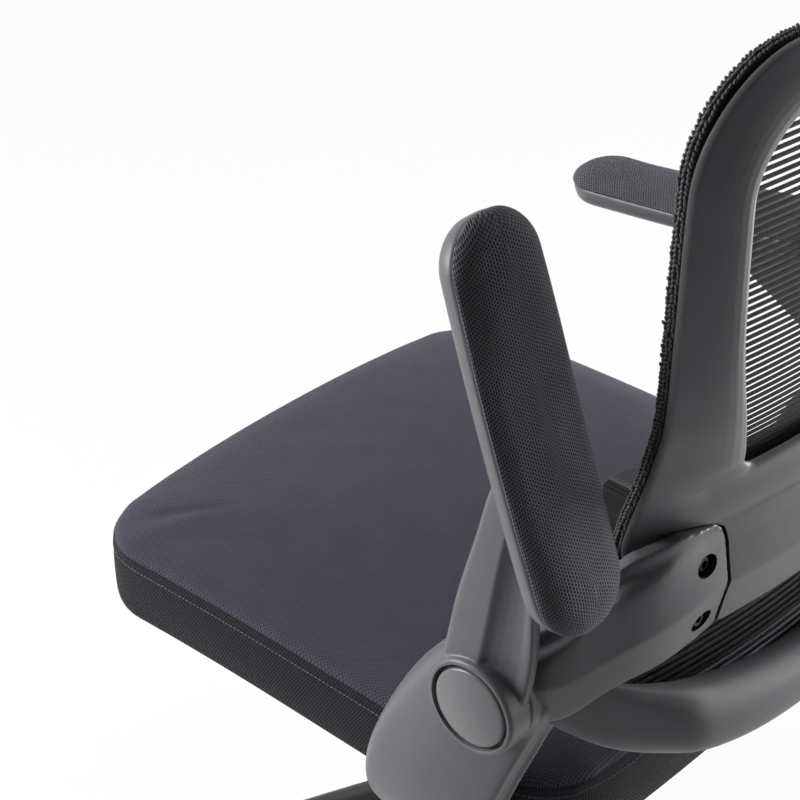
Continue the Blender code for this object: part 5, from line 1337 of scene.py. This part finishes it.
def frame_loop():
    """The lower loop: a rolled bar under the opening, whose ends run in under the branches."""
    half_path = [(0.0, 0.003), (0.05, 0.0042), (0.10, 0.009), (0.14, 0.0158), (0.17, 0.0235), (0.204, 0.0350),
                 (0.226, 0.0458), (0.240, 0.057), (0.247, 0.072)]
    stops = [(-x, rise) for x, rise in reversed(half_path[1:])] + half_path
    xs = [(i, x) for i, (x, rise) in enumerate(stops)]
    zs = [(i, 0.474 + rise) for i, (x, rise) in enumerate(stops)]
    last = len(stops) - 1
    section = [(-0.75, 0.0), (0.0, 0.0), (0.75, 0.0), (1.0, 0.28), (0.95, 0.62), (0.6, 0.92), (0.0, 1.0),
               (-0.6, 0.92), (-0.95, 0.62), (-1.0, 0.28)]
    path = [Vector((curve_at(xs, i / 5), curve_at(zs, i / 5))) for i in range(last * 5 + 1)]
    rings = []
    for i, point in enumerate(path):
        along = (path[min(i + 1, len(path) - 1)] - path[max(i - 1, 0)]).normalized()
        across = Vector((-along.y, along.x))
        from_end = min(1.0, min(i, len(path) - 1 - i) / 16)
        slim = 1.0 - 0.14 * smooth_step((0.16 - abs(point.x)) / 0.14)
        half = 0.025 * slim * (0.80 + 0.20 * smooth_step(from_end))
        deep = 0.034 * slim
        ring = []
        for share, depth in eased(section, 4):
            p = point + across * (share * half)
            thin = 1.0 - 0.5 * smooth_step((abs(p.x) - 0.170) / 0.085)
            spot = on_back(p.x, p.y, FRAME_FACE + max(0.0, depth) * deep * thin)
            over = spot.y - under_branch(abs(p.x)) + 0.0015 + 0.006 * (1 - max(0.0, depth))
            spot.y -= smooth_step((abs(p.x) - 0.170) / 0.060) * (over + math.hypot(over, 0.012)) / 2
            ring.append(spot)
        rings.append(ring)
    return skin(rings)


back = piece("back_moulding", *frame_ring())
joined(back, piece("back_loop", *frame_loop()), "UNION")
notch = branch_of_bracket(0.0009, 0.027)
hollowed(back, [notch, ([Vector((-p.x, p.y, p.z)) for p in notch[0]], notch[1])])
shade(back, satin_grey, 50.0)
# The notch walls beside the branches' ends take the black nylon finish: a painted shadow line in the joint.
back.data.materials.append(black_nylon)
for face in back.data.polygons:
    if (abs(face.normal.x) > 0.9 and abs(abs(face.center.x) - BRANCH_END.x) < 0.004
            and 0.56 < face.center.z < 0.66):
        face.material_index = 1
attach(back, "seat")
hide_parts("back_shell")


# Mesh frame: a thin nylon ring that clips to the back frame, wrapped in a chunky knitted edging that holds
# the net. The edging's stitches lie in three rows, and each row slants the other way from the one beside it.

NET_INSET = 0.0125


def edge_line(inset):
    """The edging's line: the back's outline, a little lower across its top."""
    points = []
    for p in back_outline(inset, 60, 150):
        high = unit((p.y - 0.955) / 0.048)
        points.append(Vector((p.x, p.y - 0.0035 * high * high)))
    return points


edge_outer, edge_inner = edge_line(0.0040), edge_line(NET_INSET)
edge_section = [(1.0, 0.0004), (0.66, -0.0006), (0.33, 0.0), (0.10, 0.0010), (0.0, 0.0028), (0.0, 0.0052),
                (0.12, 0.0072), (0.45, 0.0086), (1.0, 0.0092)]
edging_rings = []
for p_out, p_in in zip(edge_outer, edge_inner):
    spots = [(p_out.lerp(p_in, share), depth) for share, depth in edge_section]
    edging_rings.append([on_back(p.x, p.y, depth) for p, depth in spots])
edge_cord = thread_finish("edge_cord", (0.004, 0.004, 0.0045))
edging = shade(piece("edging_body", *skin(edging_rings, closed=True)), edge_cord, 60.0)
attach(edging, "seat")
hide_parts("mesh_frame")


def braid_tree():
    """One slim stitch at each point, turned along the point's own slant."""
    tree, given, out = tree_of("braid", [("Length", "Float"), ("Thickness", "Float")])
    ball = add(tree, "GeometryNodeMeshUVSphere", {"Segments": 6, "Rings": 5, "Radius": 0.5})
    size = add(tree, "ShaderNodeCombineXYZ", {"X": given.outputs["Length"], "Y": given.outputs["Thickness"],
                                              "Z": given.outputs["Thickness"]})
    stitch = add(tree, "GeometryNodeTransform", {"Geometry": ball.outputs["Mesh"], "Scale": size.outputs[0]})
    slant = add(tree, "GeometryNodeInputNamedAttribute", {"Name": "slant"}, data_type="FLOAT_VECTOR")
    turn = add(tree, "FunctionNodeAlignRotationToVector", {"Vector": slant.outputs["Attribute"]}, axis="X")
    points = add(tree, "GeometryNodeMeshToPoints", {"Mesh": given.outputs["Geometry"]})
    laid = add(tree, "GeometryNodeInstanceOnPoints", {"Points": points.outputs[0],
                                                      "Instance": stitch.outputs[0],
                                                      "Rotation": turn.outputs[0]})
    finished(tree, given, out, laid.outputs[0])
    return tree


def walk(points, pitch):
    """Evenly spaced places round a closed line: each place's position along the line's corners."""
    count = len(points)
    lengths = [(points[(i + 1) % count] - points[i]).length for i in range(count)]
    total = sum(lengths)
    stops = round(total / pitch)
    i, gone = 0, 0.0
    for k in range(stops):
        goal = total * k / stops
        while gone + lengths[i] < goal:
            gone += lengths[i]
            i += 1
        yield i, (goal - gone) / lengths[i]


def edge_at(i, share, inset_share, depth):
    count = len(edge_outer)
    p_out = edge_outer[i].lerp(edge_outer[(i + 1) % count], share)
    p_in = edge_inner[i].lerp(edge_inner[(i + 1) % count], share)
    p = p_out.lerp(p_in, inset_share)
    return on_back(p.x, p.y, depth)


stitch_spots, slants = [], []
uneven = np.random.default_rng(11)
for inset_share, depth, lean in ((0.04, 0.0014, 0.0013), (-0.02, 0.0040, -0.0013), (0.04, 0.0066, 0.0013)):
    for i, share in walk(edge_outer, 0.0034):
        drift = uneven.normal(0.0, 1.0, 3)
        here = edge_at(i, share, inset_share + 0.02 * drift[0], depth + 0.00025 * drift[1])
        ahead = edge_at((i + 1) % len(edge_outer), share, inset_share, depth)
        along = (ahead - here).normalized() * 0.0024
        level = edge_at(i, share, inset_share, depth)
        across = edge_at(i, share, inset_share, depth + lean * (1.0 + 0.3 * drift[2])) - level
        stitch_spots.append(here)
        slants.append(along + across)
stitch_mesh = line_mesh("edge_stitches", stitch_spots, [])
slant_layer = stitch_mesh.attributes.new("slant", "FLOAT_VECTOR", "POINT")
slant_layer.data.foreach_set("vector", [value for slant in slants for value in slant])
edge_thread = thread_finish("edge_thread", (0.075, 0.074, 0.078))
edge_braid = built("edging_braid", braid_tree(), edge_thread, {"Length": 0.0046, "Thickness": 0.0025},
                   stitch_mesh)
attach(edge_braid, "seat")


# Net: strands of black knit across the back with see-through gaps between them, stretched in the frame's
# ring. Each strand is a flat band, and a taped hem runs round them inside the frame.

NET_PITCH = 0.0056
net_low, net_high = BACK_LOW + NET_INSET, BACK_TOP - NET_INSET


def net_half(z):
    """Half the net's width at a height, drawn in round its corners."""
    half, wide = curve_at(HALF_WIDTH, z) - NET_INSET, BACK_HALF - NET_INSET
    for edge, radius, sign in ((net_low, LOW_CORNER - NET_INSET, 1), (net_high, TOP_CORNER - NET_INSET, -1)):
        into = (z - edge) * sign
        if into < radius:
            half *= (wide - radius + math.sqrt(max(0.0, radius ** 2 - (radius - into) ** 2))) / wide
    return half


def band_tree():
    """A flat band along each line: an oval carried along it, upright."""
    tree, given, out = tree_of("net_bands", [("Height", "Float"), ("Thickness", "Float")])
    line = add(tree, "GeometryNodeMeshToCurve", {"Mesh": given.outputs["Geometry"]})
    upright = add(tree, "GeometryNodeSetCurveNormal", {"Curve": line.outputs[0]}, mode="Z_UP")
    oval = add(tree, "GeometryNodeCurvePrimitiveCircle", {"Resolution": 8, "Radius": 0.5})
    size = add(tree, "ShaderNodeCombineXYZ", {"X": given.outputs["Thickness"], "Y": given.outputs["Height"],
                                              "Z": 1.0})
    flat = add(tree, "GeometryNodeTransform", {"Geometry": oval.outputs[0], "Scale": size.outputs[0]})
    band = add(tree, "GeometryNodeCurveToMesh", {"Curve": upright.outputs[0], "Profile Curve": flat.outputs[0],
                                                 "Fill Caps": True})
    finished(tree, given, out, band.outputs[0])
    return tree


def net_finish():
    """Black knit: slanting ticks of yarn with dark gaps between them."""
    finish, tree, shader = new_finish("net_knit", {"Roughness": 0.75, "Specular IOR Level": 0.3})
    place = add(tree, "ShaderNodeTexCoord").outputs["Object"]
    flat = add(tree, "ShaderNodeSeparateXYZ", {"Vector": place}).outputs
    slope = sums(tree, "ADD", sums(tree, "DIVIDE", flat["X"], 0.0013), sums(tree, "DIVIDE", flat["Z"], 0.0028))
    gap = spread(tree, saw(tree, slope), 0.22, 0.46)
    knit = blend(tree, gap, (0.017, 0.0165, 0.018, 1.0), (0.004, 0.004, 0.0045, 1.0))
    tree.links.new(knit, shader.inputs["Base Color"])
    raised(tree, shader, sums(tree, "MULTIPLY", gap, -1.0), 0.8, 0.0003)
    return finish


row_count = int((net_high - net_low) / NET_PITCH)
corners, edges = [], []
for r in range(row_count + 1):
    z = net_low + 0.0008 + r * (net_high - net_low - 0.0016) / row_count
    half = net_half(z)
    for i in range(37):
        corners.append(on_back(half * (i / 18 - 1), z, 0.0010))
        if i:
            edges.append((len(corners) - 2, len(corners) - 1))
net_knit = net_finish()
net = built("back_net", band_tree(), net_knit, {"Height": 0.0035, "Thickness": 0.0013},
            line_mesh("net_rows", corners, edges))
hem = []
for p_out, p_in in zip(back_outline(NET_INSET, 24, 60), back_outline(NET_INSET + 0.0040, 24, 60)):
    section = [(p_out, 0.0002), (p_in, 0.0002), (p_in, 0.0018), (p_out, 0.0018)]
    hem.append([on_back(p.x, p.y, depth) for p, depth in section])
hem_piece = piece("net_hem", *skin(hem, closed=True))
bm = bmesh.new()
bm.from_mesh(net.data)
bm.from_mesh(hem_piece.data)
bm.to_mesh(net.data)
bm.free()
bpy.data.objects.remove(hem_piece)
shade(net, net_knit, 60.0)
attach(net, "seat")
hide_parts("mesh_panel")


# Lumbar pad: a slim foam pad in black fabric across the front of the net, gathered along its edges. Its ends
# wrap forward, and a lighter hem of fine rows runs along its top.

LUMBAR_LOW, LUMBAR_HIGH, LUMBAR_HALF, LUMBAR_CORNER = 0.492, 0.674, 0.190, 0.010
LUMBAR_GAP, LUMBAR_EDGE, HEM_ROWS = 0.0018, 0.010, 14
lumbar_rings = []
for i in range(61):
    x = LUMBAR_HALF * math.sin(math.pi * (i / 60 - 0.5)) * 0.9995
    into = min(LUMBAR_CORNER, LUMBAR_HALF - abs(x))
    drop = LUMBAR_CORNER - math.sqrt(LUMBAR_CORNER ** 2 - (LUMBAR_CORNER - into) ** 2)
    low, height = LUMBAR_LOW + drop, LUMBAR_HIGH - LUMBAR_LOW - 2 * drop
    swell = LUMBAR_EDGE + 0.020 * (1 - (x / LUMBAR_HALF) ** 4)
    wing = 0.026 * min(1.0, abs(x) / 0.175) ** 3
    ring = [on_back(x, low + s * height, -LUMBAR_GAP - 0.6 * wing * s)
            for s in (0.0, 0.1, 0.25, 0.4, 0.5, 0.6, 0.75, 0.9, 1.0)]
    for row in range(1, HEM_ROWS):
        back_to_front = 0.6 * wing + (LUMBAR_EDGE + 0.4 * wing) * row / HEM_ROWS
        ring.append(on_back(x, low + height + 0.0007 * (row % 2), -LUMBAR_GAP - back_to_front))
    for s in (1.0, 0.985, 0.96, 0.92, 0.86, 0.78, 0.7, 0.6, 0.5, 0.4, 0.3, 0.22, 0.14, 0.08, 0.04, 0.015, 0.0):
        gather = 0.0003 * math.sin(x / 0.0016) * (1 if s > 0.93 or s < 0.07 else 0)
        depth = LUMBAR_EDGE + (swell - LUMBAR_EDGE) * (4 * s * (1 - s)) ** 0.6
        if s in (0.96, 0.04):
            depth -= 0.0022
        ring.append(on_back(x, low + s * height, -LUMBAR_GAP - depth - gather - wing * s))
    lumbar_rings.append(ring)
lumbar = piece("lumbar_cushion", *skin(lumbar_rings))
lumbar_weave = pin_hole_fabric("lumbar_weave", (0.020, 0.0195, 0.022), (0.004, 0.004, 0.0045), pitch=0.0026,
                               row=0.0021, hole=0.33, depth=0.0005, sheen=0.12)
lumbar.data.materials.append(lumbar_weave)
lumbar.data.materials.append(thread_finish("lumbar_hem", (0.034, 0.0335, 0.037)))
# Only the top faces take the lighter hem; the pad's ends keep the darker body fabric as painted shade, where
# the net shades them.
for face in lumbar.data.polygons:
    face.material_index = 1 if face.center.z > LUMBAR_HIGH - 0.0035 else 0
    face.use_smooth = True
lay_weave(lumbar, lambda face, corner: (corner.x, corner.z))
softened(lumbar)
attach(lumbar, "seat")
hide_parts("lumbar_pad")


# Studio: a white floor and sky, a large soft key from the sitter's left front, a second one from the far
# side, and faint ones behind and above. The floor is white only to the camera: its own colour is painted
# shade on the camera's side, and on the far side it glows to glossy rays as a painted reflection. The
# camera stands behind the chair's left shoulder, looking down at the near arm.

scene = bpy.context.scene
scene.view_settings.view_transform = "Standard"

world = bpy.data.worlds.new("studio")
scene.world = world
world.use_nodes = True
sky = world.node_tree
sky.nodes.clear()
seen = add(sky, "ShaderNodeLightPath")
shown = sums(sky, "MAXIMUM", seen.outputs["Is Camera Ray"], seen.outputs["Is Transmission Ray"])
heading = add(sky, "ShaderNodeTexCoord").outputs["Generated"]
beyond = add(sky, "ShaderNodeVectorMath", {0: heading, 1: (-0.72, -0.66, -0.20)}, operation="DOT_PRODUCT")
level = spread(sky, beyond.outputs["Value"], -0.35, 0.75, 0.09, 0.90)
room = add(sky, "ShaderNodeBackground", {"Color": (0.97, 0.97, 1.0, 1.0), "Strength": level})
white = add(sky, "ShaderNodeBackground", {"Color": (1.0, 1.0, 1.0, 1.0), "Strength": 1.0})
mixed = add(sky, "ShaderNodeMixShader", {0: shown, 1: room.outputs[0], 2: white.outputs[0]})
add(sky, "ShaderNodeOutputWorld", {"Surface": mixed.outputs[0]})

bpy.ops.mesh.primitive_plane_add(size=14.0, location=(0, 0, -0.0005))
floor = bpy.context.active_object
floor.name = "studio_floor"
floor_finish, tree, shader = new_finish("studio_white", {"Roughness": 0.9})
place = add(tree, "ShaderNodeTexCoord").outputs["Object"]
# The floor's colour darkens towards the camera's side: painted shade there, so that little light bounces up
# from that side.
across = add(tree, "ShaderNodeVectorMath", {0: place, 1: (0.74, 0.67, 0.0)}, operation="DOT_PRODUCT")
far = spread(tree, across.outputs["Value"], 0.20, 1.00, 1.0, 0.0)
tree.links.new(blend(tree, far, (0.36, 0.36, 0.36, 1.0), (0.86, 0.86, 0.86, 1.0)), shader.inputs["Base Color"])
glow = add(tree, "ShaderNodeEmission", {"Color": (1.0, 1.0, 1.0, 1.0), "Strength": 1.0})
paths = add(tree, "ShaderNodeLightPath")
straight = sums(tree, "MAXIMUM", paths.outputs["Is Camera Ray"], paths.outputs["Is Transmission Ray"])
# On the far side the floor glows to glossy rays: a painted reflection on the parts' lower edges.
mirrored = sums(tree, "MULTIPLY", sums(tree, "MULTIPLY", far, 0.7), paths.outputs["Is Glossy Ray"])
share = sums(tree, "MAXIMUM", sums(tree, "MULTIPLY", straight, 0.94), mirrored)
mix = add(tree, "ShaderNodeMixShader", {0: share, 1: shader.outputs[0], 2: glow.outputs[0]})
tree.links.new(mix.outputs[0], tree.nodes["Material Output"].inputs["Surface"])
floor.data.materials.append(floor_finish)


def soft_light(name, place, aim, size, power):
    lamp = bpy.data.lights.new(name, "AREA")
    lamp.shape = "DISK"
    lamp.size = size
    lamp.energy = power
    item = linked(name, lamp)
    item.location = place
    item.rotation_euler = (Vector(aim) - Vector(place)).to_track_quat("-Z", "Y").to_euler()


soft_light("key", (1.50, -1.45, 1.25), (0.1, 0.1, 0.45), 1.5, 60.0)
soft_light("side", (-1.95, 0.85, 0.50), (0.0, 0.25, 0.6), 1.2, 54.0)
soft_light("behind", (-0.9, 2.1, 0.50), (0.0, 0.25, 0.58), 1.6, 11.0)
soft_light("above", (0.3, -0.5, 2.5), (0.0, 0.0, 0.5), 1.4, 3.0)

camera_data = bpy.data.cameras.new("photo_camera")
camera_data.sensor_width = 36.0
camera_data.lens = 91.07
camera_data.shift_x = 0.01625
camera_data.shift_y = -0.034375
camera = linked("photo_camera", camera_data)
camera.location = (1.0781, 0.8711, 1.4117)
camera.rotation_euler = (math.radians(90 - 31.47), 0.0, math.radians(132.62))
scene.camera = camera
